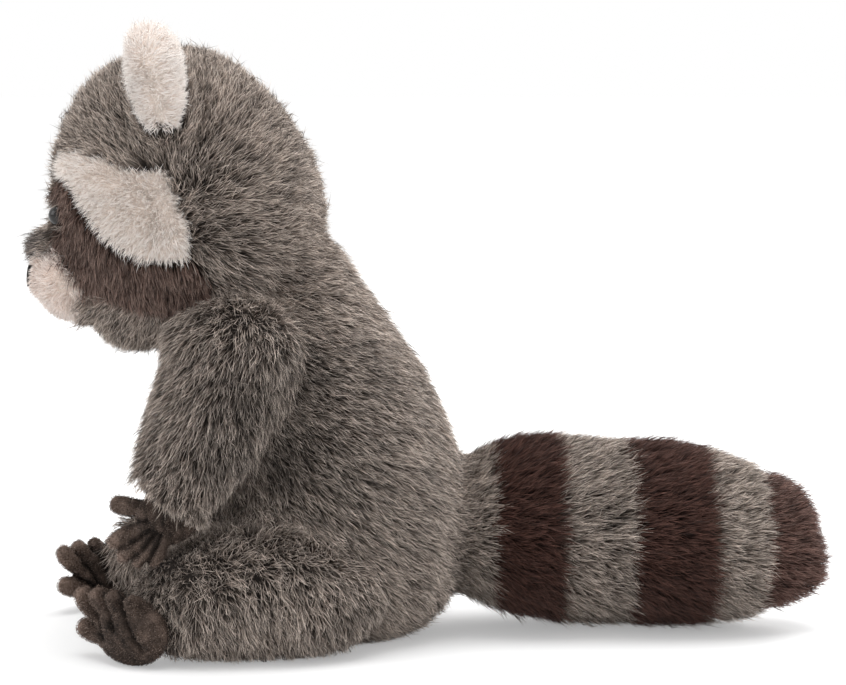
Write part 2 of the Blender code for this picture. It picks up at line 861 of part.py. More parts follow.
def centre_on_origin():
    """Hang everything from one empty, placed so that the toy's base is centred on the origin."""
    bpy.context.view_layer.update()
    seen = bpy.context.evaluated_depsgraph_get()
    corners = [
        item.evaluated_get(seen).matrix_world @ Vector(corner)
        for item in bpy.data.objects
        if not item.hide_render
        for corner in item.evaluated_get(seen).bound_box
    ]
    low = Vector([min(corner[axis] for corner in corners) for axis in range(3)])
    high = Vector([max(corner[axis] for corner in corners) for axis in range(3)])
    carrier = bpy.data.objects.new("raccoon", None)
    carrier.location = (-(low.x + high.x) / 2, -(low.y + high.y) / 2, -low.z)
    bpy.context.scene.collection.objects.link(carrier)
    for item in bpy.data.objects:
        if item is not carrier:
            item.parent = carrier


def main():
    """Build the raccoon."""
    clear_scene()
    head_room = add_object("head_room", form_shape(HEAD.grown(SEAT_GAP), 16, HEAD_SEGMENTS))
    torso_room = add_object("torso_room", form_shape(TORSO.grown(SEAT_GAP), 18, BODY_SEGMENTS))
    head = build_head()
    build_torso(head_room)
    muzzle_room, bridge_room = build_muzzle(head_room)
    eye_rooms = build_eyes(head)
    leg_rooms = build_legs(torso_room)
    arm_rooms = build_arms(head_room, torso_room, leg_rooms)
    build_face(head_room, muzzle_room, bridge_room, eye_rooms, arm_rooms)
    build_ears(head_room)
    build_hands(torso_room, leg_rooms)
    build_feet()
    build_tail(torso_room)
    centre_on_origin()


main()
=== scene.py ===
"""Sitting plush raccoon: long grey pile, brown mask and tail bands, cream face and suede paws.

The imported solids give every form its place.  Each soft solid is copied, rounded
and drawn in by the depth of its pile.  The pile is then grown on it as fine
tapered strands, combed the way the fabric lies.
"""

import json
import logging
import math
from dataclasses import dataclass, replace
from enum import Enum
from functools import cache

import bpy
import numpy as np
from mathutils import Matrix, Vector
from mathutils.bvhtree import BVHTree
from mathutils.kdtree import KDTree

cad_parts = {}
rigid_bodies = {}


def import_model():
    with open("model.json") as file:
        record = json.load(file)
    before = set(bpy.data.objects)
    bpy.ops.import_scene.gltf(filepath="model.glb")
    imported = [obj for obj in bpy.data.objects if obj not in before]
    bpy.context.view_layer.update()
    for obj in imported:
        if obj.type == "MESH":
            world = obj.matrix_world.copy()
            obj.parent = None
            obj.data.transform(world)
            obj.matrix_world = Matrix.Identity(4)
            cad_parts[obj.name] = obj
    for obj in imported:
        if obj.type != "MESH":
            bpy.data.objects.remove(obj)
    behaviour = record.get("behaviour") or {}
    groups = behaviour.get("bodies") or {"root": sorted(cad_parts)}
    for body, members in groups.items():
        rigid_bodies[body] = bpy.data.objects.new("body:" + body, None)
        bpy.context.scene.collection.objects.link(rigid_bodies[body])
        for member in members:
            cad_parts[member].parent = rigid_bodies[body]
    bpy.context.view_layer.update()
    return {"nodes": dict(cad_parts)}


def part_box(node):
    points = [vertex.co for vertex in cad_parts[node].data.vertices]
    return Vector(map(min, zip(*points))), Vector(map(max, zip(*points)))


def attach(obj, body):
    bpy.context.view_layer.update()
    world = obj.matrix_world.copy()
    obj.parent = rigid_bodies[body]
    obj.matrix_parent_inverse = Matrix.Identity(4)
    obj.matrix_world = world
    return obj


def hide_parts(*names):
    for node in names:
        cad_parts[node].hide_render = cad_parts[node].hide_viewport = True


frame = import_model()

LOG = logging.getLogger("raccoon")
Triple = tuple[float, float, float]
Pair = tuple[float, float]

BODY = "root"
BAKE_MAP = "OFBake"
TONES = 64
MOST_STRANDS = 99000
FLOOR_CLEARANCE = 0.0004
REACH = 0.012
FLECK_HEIGHT = 0.0004
STRAND_SHARE = 1.0


class Side(Enum):
    """The two sides of the animal; its left faces the camera."""

    LEFT = "left"
    RIGHT = "right"

    def node(self, stem: str) -> str:
        """The name of this side's node of a pair."""
        return f"{stem}_{self.value}"


# Working on objects


def select_only(*objects: bpy.types.Object) -> None:
    """Selects these objects and nothing else, and makes the first one active.

    Args:
        objects: The objects to select.
    """
    for other in bpy.context.view_layer.objects:
        other.select_set(False)
    for one in objects:
        one.select_set(True)
    bpy.context.view_layer.objects.active = objects[0]


def apply_modifier(piece: bpy.types.Object, kind: str, **settings: object) -> None:
    """Puts a modifier on a piece and applies it.

    Args:
        piece: The object to change.
        kind: Blender's name of the modifier type.
        settings: Values for the modifier's own properties.
    """
    select_only(piece)
    modifier = piece.modifiers.new(kind.title(), kind)
    for key, value in settings.items():
        setattr(modifier, key, value)
    bpy.ops.object.modifier_apply(modifier=modifier.name)


def solid_copy(name: str, *nodes: str) -> bpy.types.Object:
    """Copies CAD nodes into one new object with their loose triangles merged.

    Args:
        name: The new object's name.
        nodes: The CAD nodes to copy.

    Returns:
        The new object.
    """
    parts = []
    for node in nodes:
        part = bpy.data.objects.new(name, frame["nodes"][node].data.copy())
        part.data.materials.clear()
        bpy.context.scene.collection.objects.link(part)
        parts.append(part)
    select_only(*parts)
    if len(parts) > 1:
        bpy.ops.object.join()
    piece = parts[0]
    bpy.ops.mesh.customdata_custom_splitnormals_clear()
    bpy.ops.object.mode_set(mode="EDIT")
    bpy.ops.mesh.select_all(action="SELECT")
    bpy.ops.mesh.remove_doubles(threshold=1e-6)
    bpy.ops.object.mode_set(mode="OBJECT")
    return piece


def hand_over(piece: bpy.types.Object, material: bpy.types.Material, slot: str, *nodes: str) -> None:
    """Dresses a finished piece and fixes it to the body.

    Args:
        piece: The finished piece.
        material: Its material.
        slot: The record's material slot; not used.
        nodes: The CAD nodes that it stands for.
    """
    piece.data.materials.clear()
    piece.data.materials.append(material)
    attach(piece, BODY)
    if nodes:
        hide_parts(*nodes)
    LOG.info("%s: %d faces", piece.name, len(piece.data.polygons))


# Noise and surfaces


@dataclass(frozen=True)
class Waves:
    """Smooth noise in space, a sum of sine waves in random directions."""

    size: float
    seed: int
    count: int = 14

    def at(self, points: np.ndarray) -> np.ndarray:
        """Values of about -1 to 1 at points.

        Args:
            points: Places, one row each.

        Returns:
            One value for each point.
        """
        rng = np.random.default_rng(self.seed)
        ways = rng.normal(size=(self.count, 3))
        ways /= np.linalg.norm(ways, axis=1, keepdims=True)
        ways *= 2.0 * math.pi / self.size * rng.uniform(0.6, 1.6, (self.count, 1))
        phases = rng.uniform(0.0, 2.0 * math.pi, self.count)
        return np.sin(points @ ways.T + phases).mean(axis=1) * 2.4


def unit(ways: np.ndarray) -> np.ndarray:
    """Rows at length one."""
    return ways / np.maximum(np.linalg.norm(ways, axis=1, keepdims=True), 1e-9)


def vertex_arrays(piece: bpy.types.Object) -> tuple[np.ndarray, np.ndarray]:
    """Reads a mesh's vertices.

    Args:
        piece: The object to read.

    Returns:
        The places and the normals of its vertices.
    """
    vertices = piece.data.vertices
    places = np.empty(len(vertices) * 3)
    vertices.foreach_get("co", places)
    normals = np.empty(len(vertices) * 3)
    vertices.foreach_get("normal", normals)
    return places.reshape(-1, 3), normals.reshape(-1, 3)


@dataclass
class Ground:
    """The triangles of a surface that pile grows on."""

    index: np.ndarray
    corners: np.ndarray
    normals: np.ndarray

    @classmethod
    def of(cls, piece: bpy.types.Object) -> "Ground":
        """Reads the triangles and smooth normals of an object's mesh.

        Args:
            piece: The object to read.

        Returns:
            The ground.
        """
        places, normals = vertex_arrays(piece)
        mesh = piece.data
        mesh.calc_loop_triangles()
        index = np.empty(len(mesh.loop_triangles) * 3, dtype=np.int64)
        mesh.loop_triangles.foreach_get("vertices", index)
        index = index.reshape(-1, 3)
        return cls(index, places[index], normals[index])

    def scatter(
        self, density: float, rng: np.random.Generator, chosen: np.ndarray
    ) -> tuple[np.ndarray, np.ndarray, np.ndarray]:
        """Places points evenly at random over chosen triangles.

        Args:
            density: Points to a square metre.
            rng: Source of the random numbers.
            chosen: True for each triangle that takes points.

        Returns:
            The points, their normals and the triangle of each.
        """
        first = self.corners[:, 1] - self.corners[:, 0]
        second = self.corners[:, 2] - self.corners[:, 0]
        areas = np.linalg.norm(np.cross(first, second), axis=1) / 2.0 * chosen
        edges = np.cumsum(areas)
        count = int(edges[-1] * density)
        pick = np.searchsorted(edges, rng.uniform(0.0, edges[-1], count))
        pick = np.minimum(pick, len(areas) - 1)
        one = np.sqrt(rng.uniform(size=count))
        two = rng.uniform(size=count)
        shares = np.stack([1.0 - one, one * (1.0 - two), one * two], axis=1)[:, :, None]
        points = (self.corners[pick] * shares).sum(axis=1)
        return points, unit((self.normals[pick] * shares).sum(axis=1)), pick


@cache
def tree_of(node: str) -> BVHTree:
    """A search tree over a CAD node's triangles."""
    mesh = frame["nodes"][node].data
    return BVHTree.FromPolygons([v.co for v in mesh.vertices], [tuple(p.vertices) for p in mesh.polygons])


def near_box(points: np.ndarray, node: str, reach: float = 0.0) -> np.ndarray:
    """Finds the points in or near a CAD node's box.

    Args:
        points: Places, one row each.
        node: The CAD node's name.
        reach: How far outside the box a point may lie.

    Returns:
        The numbers of those points.
    """
    low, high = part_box(node)
    near = (points > np.array(low) - reach) & (points < np.array(high) + reach)
    return np.flatnonzero(near.all(axis=1))


def inside(points: np.ndarray, node: str) -> np.ndarray:
    """Tells which points lie inside a CAD node.

    Args:
        points: Places, one row each.
        node: The CAD node's name.

    Returns:
        True for each point inside.
    """
    found = np.zeros(len(points), dtype=bool)
    tree = tree_of(node)
    for index in near_box(points, node):
        point = Vector(points[index])
        place, normal, _, _ = tree.find_nearest(point)
        found[index] = (point - place).dot(normal) < 0.0
    return found


def distance(points: np.ndarray, node: str, reach: float = REACH) -> np.ndarray:
    """Measures how far points lie from a CAD node's surface.

    Args:
        points: Places, one row each.
        node: The CAD node's name.
        reach: The distance that is given to points further away.

    Returns:
        The distance of each point.
    """
    away = np.full(len(points), reach)
    tree = tree_of(node)
    for index in near_box(points, node, reach):
        _, _, _, length = tree.find_nearest(Vector(points[index]), reach)
        if length is not None:
            away[index] = length
    return away


def below(points: np.ndarray, normals: np.ndarray, node: str, reach: float = REACH) -> np.ndarray:
    """Tells which points lie under a CAD node, looking out along their normals.

    Args:
        points: Places, one row each.
        normals: The outward direction at each.
        node: The CAD node's name.
        reach: How far out the node may be.

    Returns:
        True for each point under the node.
    """
    found = np.zeros(len(points), dtype=bool)
    tree = tree_of(node)
    for index in near_box(points, node, reach):
        place, _, _, _ = tree.ray_cast(Vector(points[index]), Vector(normals[index]), reach)
        found[index] = place is not None
    return found


# Pile


@dataclass(frozen=True)
class Comb:
    """The way a pile lies: away from a parting line and along a drift, with swirls where both are weak.

    The flank is how much more upright it stands on the animal's flanks.
    """

    start: Pair
    end: Pair
    away: float
    drift: Triple
    softness: float = 0.012
    swirl: float = 0.50
    swirl_size: float = 0.011
    flank: float = 0.0
    swirl_seeds: tuple[int, int, int] = (301, 302, 303)
    least_swirl: float = 0.25

    def ways(self, points: np.ndarray) -> np.ndarray:
        """Gives the comb's direction at points.

        Args:
            points: Places, one row each.

        Returns:
            One direction for each, up to about length one.
        """
        start = np.array(self.start)
        line = np.array(self.end) - start
        flat = points[:, [0, 2]]
        share = np.clip((flat - start) @ line / max(line @ line, 1e-12), 0.0, 1.0)
        off = flat - (start + share[:, None] * line)
        off /= np.linalg.norm(off, axis=1, keepdims=True) + self.softness
        ways = np.zeros_like(points)
        ways[:, 0] = off[:, 0] * self.away
        ways[:, 2] = off[:, 1] * self.away
        ways += np.array(self.drift)
        weak = (1.0 - np.linalg.norm(ways, axis=1, keepdims=True)).clip(self.least_swirl, 1.0)
        swirls = np.stack([Waves(self.swirl_size, seed).at(points) for seed in self.swirl_seeds], axis=1)
        return ways + swirls * weak * self.swirl


@dataclass(frozen=True)
class PileFinish:
    """A pile fabric: how its strands stand and how they are coloured."""

    name: str
    slot: str
    root: Triple
    middle: Triple
    tip: Triple
    spread: float
    length: float
    thickness: float
    density: float
    height: float
    lift: float
    settle: float
    clump_size: float
    clump_pull: float

    def material(self) -> bpy.types.Material:
        """The pile's material, made on first use."""
        return pile_material(self)


GREY = PileFinish(
    "grey_pile", "grey_pile", (0.046, 0.037, 0.031), (0.192, 0.153, 0.128), (0.76, 0.655, 0.575),
    spread=0.88, length=0.0098, thickness=0.00030, density=2.85e6, height=0.0060,
    lift=0.48, settle=0.26, clump_size=0.0019, clump_pull=0.07,
)
BROWN = PileFinish(
    "brown_pile", "brown_pile", (0.010, 0.004, 0.003), (0.046, 0.019, 0.014), (0.155, 0.078, 0.060),
    spread=0.70, length=0.0106, thickness=0.00032, density=2.85e6, height=0.0064,
    lift=0.50, settle=0.30, clump_size=0.0021, clump_pull=0.09,
)
MASK = PileFinish(
    "mask_pile", "brown_pile", (0.022, 0.012, 0.009), (0.104, 0.062, 0.049), (0.34, 0.240, 0.200),
    spread=0.75, length=0.0076, thickness=0.00030, density=3.6e6, height=0.0048,
    lift=0.48, settle=0.26, clump_size=0.0016, clump_pull=0.08,
)
CREAM = PileFinish(
    "cream_pile", "cream_pile", (0.92, 0.80, 0.73), (0.99, 0.92, 0.87), (0.99, 0.96, 0.93),
    spread=0.09, length=0.0052, thickness=0.00027, density=5.2e6, height=0.0037,
    lift=0.64, settle=0.44, clump_size=0.0011, clump_pull=0.10,
)
EAR_CREAM = PileFinish(
    "ear_pile", "cream_pile", (0.86, 0.75, 0.69), (0.98, 0.92, 0.88), (0.99, 0.96, 0.93),
    spread=0.08, length=0.0055, thickness=0.00029, density=4.6e6, height=0.0040,
    lift=0.56, settle=0.36, clump_size=0.0013, clump_pull=0.10,
)
MUZZLE_CREAM = PileFinish(
    "muzzle_pile", "cream_pile", (0.80, 0.66, 0.58), (0.95, 0.84, 0.78), (0.99, 0.93, 0.89),
    spread=0.14, length=0.0044, thickness=0.00029, density=4.8e6, height=0.0036,
    lift=0.60, settle=0.38, clump_size=0.0011, clump_pull=0.12,
)
TUFT = PileFinish(
    "bridge_pile", "grey_pile", (0.022, 0.018, 0.017), (0.090, 0.075, 0.068), (0.36, 0.31, 0.28),
    spread=0.7, length=0.0072, thickness=0.00030, density=4.6e6, height=0.0044,
    lift=0.46, settle=0.26, clump_size=0.0015, clump_pull=0.10,
)
# Painted light: a lighter copy of the brown pile for the tail's last band, standing in for the light on the
# tail's tip.
LIT_TIP_BROWN = replace(
    BROWN, name="tip_pile", spread=0.75,
    root=(0.014, 0.007, 0.005), middle=(0.088, 0.044, 0.035), tip=(0.300, 0.180, 0.148),
)
NAP = PileFinish(
    "suede_nap", "brown_suede", (0.045, 0.030, 0.024), (0.125, 0.088, 0.071), (0.44, 0.345, 0.290),
    spread=0.90, length=0.0012, thickness=0.00024, density=3.4e6, height=0.0008,
    lift=0.50, settle=0.30, clump_size=0.0007, clump_pull=0.2,
)


@dataclass
class Bed:
    """The places that strands grow from, in random order."""

    roots: np.ndarray
    normals: np.ndarray
    room: np.ndarray
    shade: np.ndarray

    def first(self, count: int) -> "Bed":
        """The first strands of the bed."""
        return Bed(self.roots[:count], self.normals[:count], self.room[:count], self.shade[:count])


@dataclass
class Pile:
    """One patch of pile on a bed.

    Guard hairs are longer than the rest, and some strands are darker.  Strands of a clump lean one way.
    The noise values are shares of a length, or parts of a direction or a tone.
    """

    finish: PileFinish
    comb: Comb
    seed: int
    guard_share: float = 0.06
    guard_gain: float = 1.32
    clump_lean: float = 0.055
    stand_noise: Pair = (0.07, 0.09)
    stray: Pair = (0.07, 0.13)
    uneven: Pair = (0.10, 0.022)
    length_noise: float = 0.15
    height_noise: float = 0.14
    tone: float = 0.58
    tone_noise: Pair = (0.20, 0.07)
    dark_share: float = 0.28
    darkening: float = 0.34
    patches: Pair = (0.08, 0.030)

    def grow(self, name: str, bed: Bed, *nodes: str) -> None:
        """Grows the strands as one mesh, and hands the piece over.

        Args:
            name: The piece's name.
            bed: Where the strands start, with their share of the full length and their shade.
            nodes: The CAD nodes that the piece stands for.
        """
        rng = np.random.default_rng(self.seed)
        bed = bed.first(MOST_STRANDS)
        roots, normals = bed.roots, bed.normals
        bends, tips, tones = self._shape(bed, rng)
        widths = self.finish.thickness / math.sqrt(STRAND_SHARE) * rng.uniform(0.7, 1.25, (len(roots), 1))
        spread = rng.normal(0.0, 0.7, (len(roots), 1))
        along = unit(tips - roots)
        flat = unit(np.cross(along, normals) + 1e-6)
        across = flat * np.cos(spread) + np.cross(along, flat) * np.sin(spread)
        wide = across * widths * 0.5
        places = np.stack([roots, bends - wide, bends + wide, tips], axis=1)
        places[:, :, 2] = np.maximum(places[:, :, 2], FLOOR_CLEARANCE)
        piece = strand_object(name, places, tones)
        hand_over(piece, self.finish.material(), self.finish.slot, *nodes)

    def _shape(self, bed: Bed, rng: np.random.Generator) -> tuple[np.ndarray, np.ndarray, np.ndarray]:
        """Finds where each strand bends and ends, and how light it is.

        Args:
            bed: Where the strands start.
            rng: Source of the random numbers.

        Returns:
            The bends, the tips and the tones.
        """
        finish = self.finish
        roots, normals = bed.roots, bed.normals
        count = len(roots)
        ways = self.comb.ways(roots)
        ways -= (ways * normals).sum(axis=1, keepdims=True) * normals
        ways /= np.maximum(np.linalg.norm(ways, axis=1, keepdims=True), 1.0)
        centre, clumps = self._clumps(roots)
        lean = rng.normal(0.0, self.clump_lean, (clumps, 3))[centre]
        flank = self.comb.flank * normals[:, 1:2] ** 2
        lift = finish.lift + flank + rng.normal(0.0, self.stand_noise[0], (count, 1))
        settle = finish.settle + flank + rng.normal(0.0, self.stand_noise[1], (count, 1))
        stray = rng.normal(0.0, self.stray[0], (count, 3))
        first = unit(normals * lift + ways * (1.0 - lift) + lean + stray)
        stray = rng.normal(0.0, self.stray[1], (count, 3))
        last = unit(normals * settle + ways * (1.0 - settle) + lean * 1.5 + stray)
        uneven = 1.0 + self.uneven[0] * Waves(self.uneven[1], self.seed).at(roots)[:, None]
        guards = rng.uniform(size=(count, 1)) < self.guard_share
        gain = np.where(guards, self.guard_gain, 1.0) * bed.room[:, None]
        noise = rng.normal(1.0, self.length_noise, (count, 1)).clip(0.5, 1.4)
        length = finish.length * uneven * gain * noise
        bends = roots + first * length * 0.5
        tips = bends + last * length * 0.5
        pull = finish.clump_pull * rng.uniform(0.4, 1.3, (count, 1))
        tips += (tips[centre] - tips) * pull
        bends += (bends[centre] - bends) * pull * 0.35
        rise = ((tips - roots) * normals).sum(axis=1, keepdims=True)
        noise = rng.normal(1.0, self.height_noise, (count, 1)).clip(0.6, 1.35)
        ceiling = finish.height * uneven * gain * noise
        scale = np.minimum(1.0, ceiling / np.maximum(rise, 1e-6))
        bends = roots + (bends - roots) * scale
        tips = roots + (tips - roots) * scale
        noise, clump_noise = self.tone_noise
        tones = self.tone + rng.normal(0.0, noise, count) + rng.normal(0.0, clump_noise, clumps)[centre]
        tones -= self.darkening * (rng.uniform(size=count) < self.dark_share)
        tones += self.patches[0] * Waves(self.patches[1], self.seed + 1).at(roots) + bed.shade
        return bends, tips, tones.clip(0.0, 0.999)

    def _clumps(self, roots: np.ndarray) -> tuple[np.ndarray, int]:
        """Joins strands into clumps round some of their own roots.

        Args:
            roots: Where the strands start, in random order.

        Returns:
            The index of each strand's clump, which is that of its middle strand, and how many there are.
        """
        size = self.finish.clump_size
        per_clump = max(1.0, self.finish.density * size * size)
        clumps = max(1, int(len(roots) / per_clump))
        tree = KDTree(clumps)
        for index in range(clumps):
            tree.insert(roots[index], index)
        tree.balance()
        return np.array([tree.find(root)[1] for root in roots]), clumps


def strand_object(name: str, places: np.ndarray, tones: np.ndarray) -> bpy.types.Object:
    """Makes a mesh of strands, each of four points and two triangles.

    Args:
        name: The object's name.
        places: For each strand its root, the two sides of its bend and its tip.
        tones: How light each strand is, from 0 to 1.

    Returns:
        The new object, with its tone across and its length along the bake map.
    """
    count = len(places)
    pattern = np.array([0, 2, 1, 1, 2, 3])
    index = (np.arange(count)[:, None] * 4 + pattern).ravel()
    mesh = bpy.data.meshes.new(name)
    mesh.vertices.add(count * 4)
    mesh.vertices.foreach_set("co", places.ravel())
    mesh.loops.add(count * 6)
    mesh.loops.foreach_set("vertex_index", index)
    mesh.polygons.add(count * 2)
    mesh.polygons.foreach_set("loop_start", np.arange(0, count * 6, 3))
    mesh.polygons.foreach_set("use_smooth", np.ones(count * 2, dtype=bool))
    mesh.update(calc_edges=True)
    column = (np.floor(tones * TONES) + 0.5) / TONES
    half = 0.35 / TONES
    across = np.stack([column, column - half, column + half, column], axis=1)
    along = np.broadcast_to(np.array([0.01, 0.5, 0.5, 0.99]), (count, 4))
    chart = np.stack([across, along], axis=2)[:, pattern, :]
    mesh.uv_layers.new(name=BAKE_MAP).data.foreach_set("uv", chart.ravel())
    piece = bpy.data.objects.new(name, mesh)
    bpy.context.scene.collection.objects.link(piece)
    return piece


# Materials


def feed(links: bpy.types.NodeLinks, socket: bpy.types.NodeSocket, value: object) -> None:
    """Links a socket to another one, or sets its plain value.

    Args:
        links: The links of the tree.
        socket: The socket to feed.
        value: Another node's output, or a value.
    """
    if isinstance(value, bpy.types.NodeSocket):
        links.new(value, socket)
    else:
        socket.default_value = value


def maths(tree: bpy.types.NodeTree, operation: str, *values: object) -> bpy.types.NodeSocket:
    """Adds a maths node.

    Args:
        tree: The tree that it goes into.
        operation: What it works out.
        values: Outputs or numbers for its inputs, in order.

    Returns:
        Its result.
    """
    node = tree.nodes.new("ShaderNodeMath")
    node.operation = operation
    for socket, value in zip(node.inputs, values):
        feed(tree.links, socket, value)
    return node.outputs[0]


def ranged(
    tree: bpy.types.NodeTree, value: bpy.types.NodeSocket, taken: Pair, given: Pair, smooth: bool = False
) -> bpy.types.NodeSocket:
    """Maps one range of values to another.

    Args:
        tree: The tree that it goes into.
        value: The output to map.
        taken: The ends of the range that comes in.
        given: The ends of the range that goes out.
        smooth: Whether it eases in and out.

    Returns:
        The mapped value.
    """
    node = tree.nodes.new("ShaderNodeMapRange")
    if smooth:
        node.interpolation_type = "SMOOTHSTEP"
    for label, number in zip(("From Min", "From Max", "To Min", "To Max"), (*taken, *given)):
        node.inputs[label].default_value = number
    tree.links.new(value, node.inputs["Value"])
    return node.outputs["Result"]


def blended(
    tree: bpy.types.NodeTree, share: bpy.types.NodeSocket, one: object, two: object
) -> bpy.types.NodeSocket:
    """Blends two colours.

    Args:
        tree: The tree that it goes into.
        share: The share of the second colour.
        one: The first colour, as an output or a value.
        two: The second colour.

    Returns:
        The blend.
    """
    node = tree.nodes.new("ShaderNodeMix")
    node.data_type = "RGBA"
    tree.links.new(share, node.inputs["Factor"])
    feed(tree.links, node.inputs[6], one)
    feed(tree.links, node.inputs[7], two)
    return node.outputs[2]


def sight(tree: bpy.types.NodeTree) -> bpy.types.NodeSocket:
    """Tells the rays that see a surface, also in gloss or through glass, from those that light it.

    Args:
        tree: The tree that it goes into.

    Returns:
        One for rays that see it, and otherwise nought.
    """
    rays = tree.nodes.new("ShaderNodeLightPath")
    seen = maths(tree, "MAXIMUM", rays.outputs["Is Camera Ray"], rays.outputs["Is Glossy Ray"])
    return maths(tree, "MAXIMUM", seen, rays.outputs["Is Transmission Ray"])


def new_material(name: str) -> tuple[bpy.types.Material, bpy.types.Node]:
    """Makes a material with one Principled shader.

    Args:
        name: The material's name.

    Returns:
        The material and the shader.
    """
    material = bpy.data.materials.new(name)
    material.use_nodes = True
    nodes = material.node_tree.nodes
    nodes.clear()
    shader = nodes.new("ShaderNodeBsdfPrincipled")
    output = nodes.new("ShaderNodeOutputMaterial")
    material.node_tree.links.new(shader.outputs["BSDF"], output.inputs["Surface"])
    return material, shader


def new_group(
    name: str, inputs: tuple[tuple[str, str, object], ...], outputs: tuple[tuple[str, str], ...]
) -> tuple[bpy.types.NodeTree, bpy.types.Node, bpy.types.Node]:
    """Makes an empty shader group with its sockets.

    Args:
        name: The group's name.
        inputs: Name, socket type and default of each input.
        outputs: Name and socket type of each output.

    Returns:
        The group, its input node and its output node.
    """
    group = bpy.data.node_groups.new(name, "ShaderNodeTree")
    for label, kind, value in inputs:
        socket = group.interface.new_socket(name=label, in_out="INPUT", socket_type=kind)
        socket.default_value = value
    for label, kind in outputs:
        group.interface.new_socket(name=label, in_out="OUTPUT", socket_type=kind)
    return group, group.nodes.new("NodeGroupInput"), group.nodes.new("NodeGroupOutput")


@cache
def strand_group() -> bpy.types.NodeTree:
    """Colour and roughness of a strand, from root to tip and by its tone."""
    group, given, result = new_group(
        "strand_tone",
        (
            ("Root", "NodeSocketColor", (0.1, 0.1, 0.1, 1.0)),
            ("Middle", "NodeSocketColor", (0.3, 0.3, 0.3, 1.0)),
            ("Tip", "NodeSocketColor", (0.6, 0.6, 0.6, 1.0)),
            ("Spread", "NodeSocketFloat", 0.5),
        ),
        (("Color", "NodeSocketColor"), ("Roughness", "NodeSocketFloat")),
    )
    nodes, link = group.nodes, group.links.new
    chart = nodes.new("ShaderNodeUVMap")
    chart.uv_map = BAKE_MAP
    parts = nodes.new("ShaderNodeSeparateXYZ")
    link(chart.outputs["UV"], parts.inputs["Vector"])
    colour = given.outputs["Root"]
    for label, start, end in (("Middle", 0.0, 0.6), ("Tip", 0.5, 1.0)):
        share = ranged(group, parts.outputs["Y"], (start, end), (0.0, 1.0), smooth=True)
        colour = blended(group, share, colour, given.outputs[label])
    offset = maths(group, "MULTIPLY_ADD", parts.outputs["X"], 2.0, -1.0)
    scaled = nodes.new("ShaderNodeVectorMath")
    scaled.operation = "SCALE"
    link(colour, scaled.inputs[0])
    link(maths(group, "MULTIPLY_ADD", offset, given.outputs["Spread"], 1.0), scaled.inputs["Scale"])
    link(scaled.outputs[0], result.inputs["Color"])
    link(ranged(group, parts.outputs["Y"], (0.0, 1.0), (0.85, 0.55)), result.inputs["Roughness"])
    return group


@cache
def fleck_group() -> bpy.types.NodeTree:
    """Fine mottling for cloth and suede: a mask from 0 to 1 and a height."""
    group, given, result = new_group(
        "cloth_fleck",
        (("Scale", "NodeSocketFloat", 900.0), ("Coarse", "NodeSocketFloat", 120.0)),
        (("Mask", "NodeSocketFloat"), ("Height", "NodeSocketFloat")),
    )
    nodes, link = group.nodes, group.links.new
    place = nodes.new("ShaderNodeTexCoord")
    fine = nodes.new("ShaderNodeTexNoise")
    coarse = nodes.new("ShaderNodeTexNoise")
    for noise, label, detail in ((fine, "Scale", 3.0), (coarse, "Coarse", 2.0)):
        noise.inputs["Detail"].default_value = detail
        link(place.outputs["Object"], noise.inputs["Vector"])
        link(given.outputs[label], noise.inputs["Scale"])
    both = maths(group, "ADD", fine.outputs["Fac"], coarse.outputs["Fac"])
    link(ranged(group, both, (0.75, 1.25), (0.0, 1.0)), result.inputs["Mask"])
    link(fine.outputs["Fac"], result.inputs["Height"])
    return group


def place_group(
    material: bpy.types.Material, group: bpy.types.NodeTree, **values: object
) -> bpy.types.Node:
    """Puts a shader group into a material.

    Args:
        material: The material.
        group: The group.
        values: What its inputs are set to.

    Returns:
        The group's node.
    """
    node = material.node_tree.nodes.new("ShaderNodeGroup")
    node.node_tree = group
    for label, value in values.items():
        node.inputs[label].default_value = value
    return node


@cache
def pile_material(finish: PileFinish) -> bpy.types.Material:
    """Makes the material of a pile.

    Args:
        finish: The pile's finish.

    Returns:
        The material.
    """
    material, shader = new_material(finish.name)
    colours = {"Root": finish.root, "Middle": finish.middle, "Tip": finish.tip}
    colours = {label: (*colour, 1.0) for label, colour in colours.items()}
    tone = place_group(material, strand_group(), **colours, Spread=finish.spread)
    links = material.node_tree.links
    links.new(tone.outputs["Color"], shader.inputs["Base Color"])
    links.new(tone.outputs["Roughness"], shader.inputs["Roughness"])
    shader.inputs["Specular IOR Level"].default_value = 0.3
    return material


@dataclass(frozen=True)
class ClothFinish:
    """A cloth with fine flecks: the backing of the pile, the suede or the thread."""

    name: str
    slot: str
    dark: Triple
    light: Triple
    scale: float
    coarse: float
    bump: float
    roughness: float = 0.9
    attribute: str = ""

    def material(self) -> bpy.types.Material:
        """The cloth's material, made on first use."""
        return cloth_material(self)


@cache
def cloth_material(finish: ClothFinish) -> bpy.types.Material:
    """Makes the material of a cloth.

    Args:
        finish: The cloth's finish.

    Returns:
        The material.
    """
    material, shader = new_material(finish.name)
    nodes, links = material.node_tree.nodes, material.node_tree.links
    fleck = place_group(material, fleck_group(), Scale=finish.scale, Coarse=finish.coarse)
    ends = ((*finish.dark, 1.0), (*finish.light, 1.0))
    colour = blended(material.node_tree, fleck.outputs["Mask"], *ends)
    if finish.attribute:
        painted = nodes.new("ShaderNodeAttribute")
        painted.attribute_name = finish.attribute
        tinted = nodes.new("ShaderNodeVectorMath")
        tinted.operation = "MULTIPLY"
        links.new(colour, tinted.inputs[0])
        links.new(painted.outputs["Color"], tinted.inputs[1])
        colour = tinted.outputs[0]
    links.new(colour, shader.inputs["Base Color"])
    bump = nodes.new("ShaderNodeBump")
    bump.inputs["Strength"].default_value = finish.bump
    bump.inputs["Distance"].default_value = FLECK_HEIGHT
    links.new(fleck.outputs["Height"], bump.inputs["Height"])
    links.new(bump.outputs["Normal"], shader.inputs["Normal"])
    shader.inputs["Roughness"].default_value = finish.roughness
    shader.inputs["Specular IOR Level"].default_value = 0.2
    return material


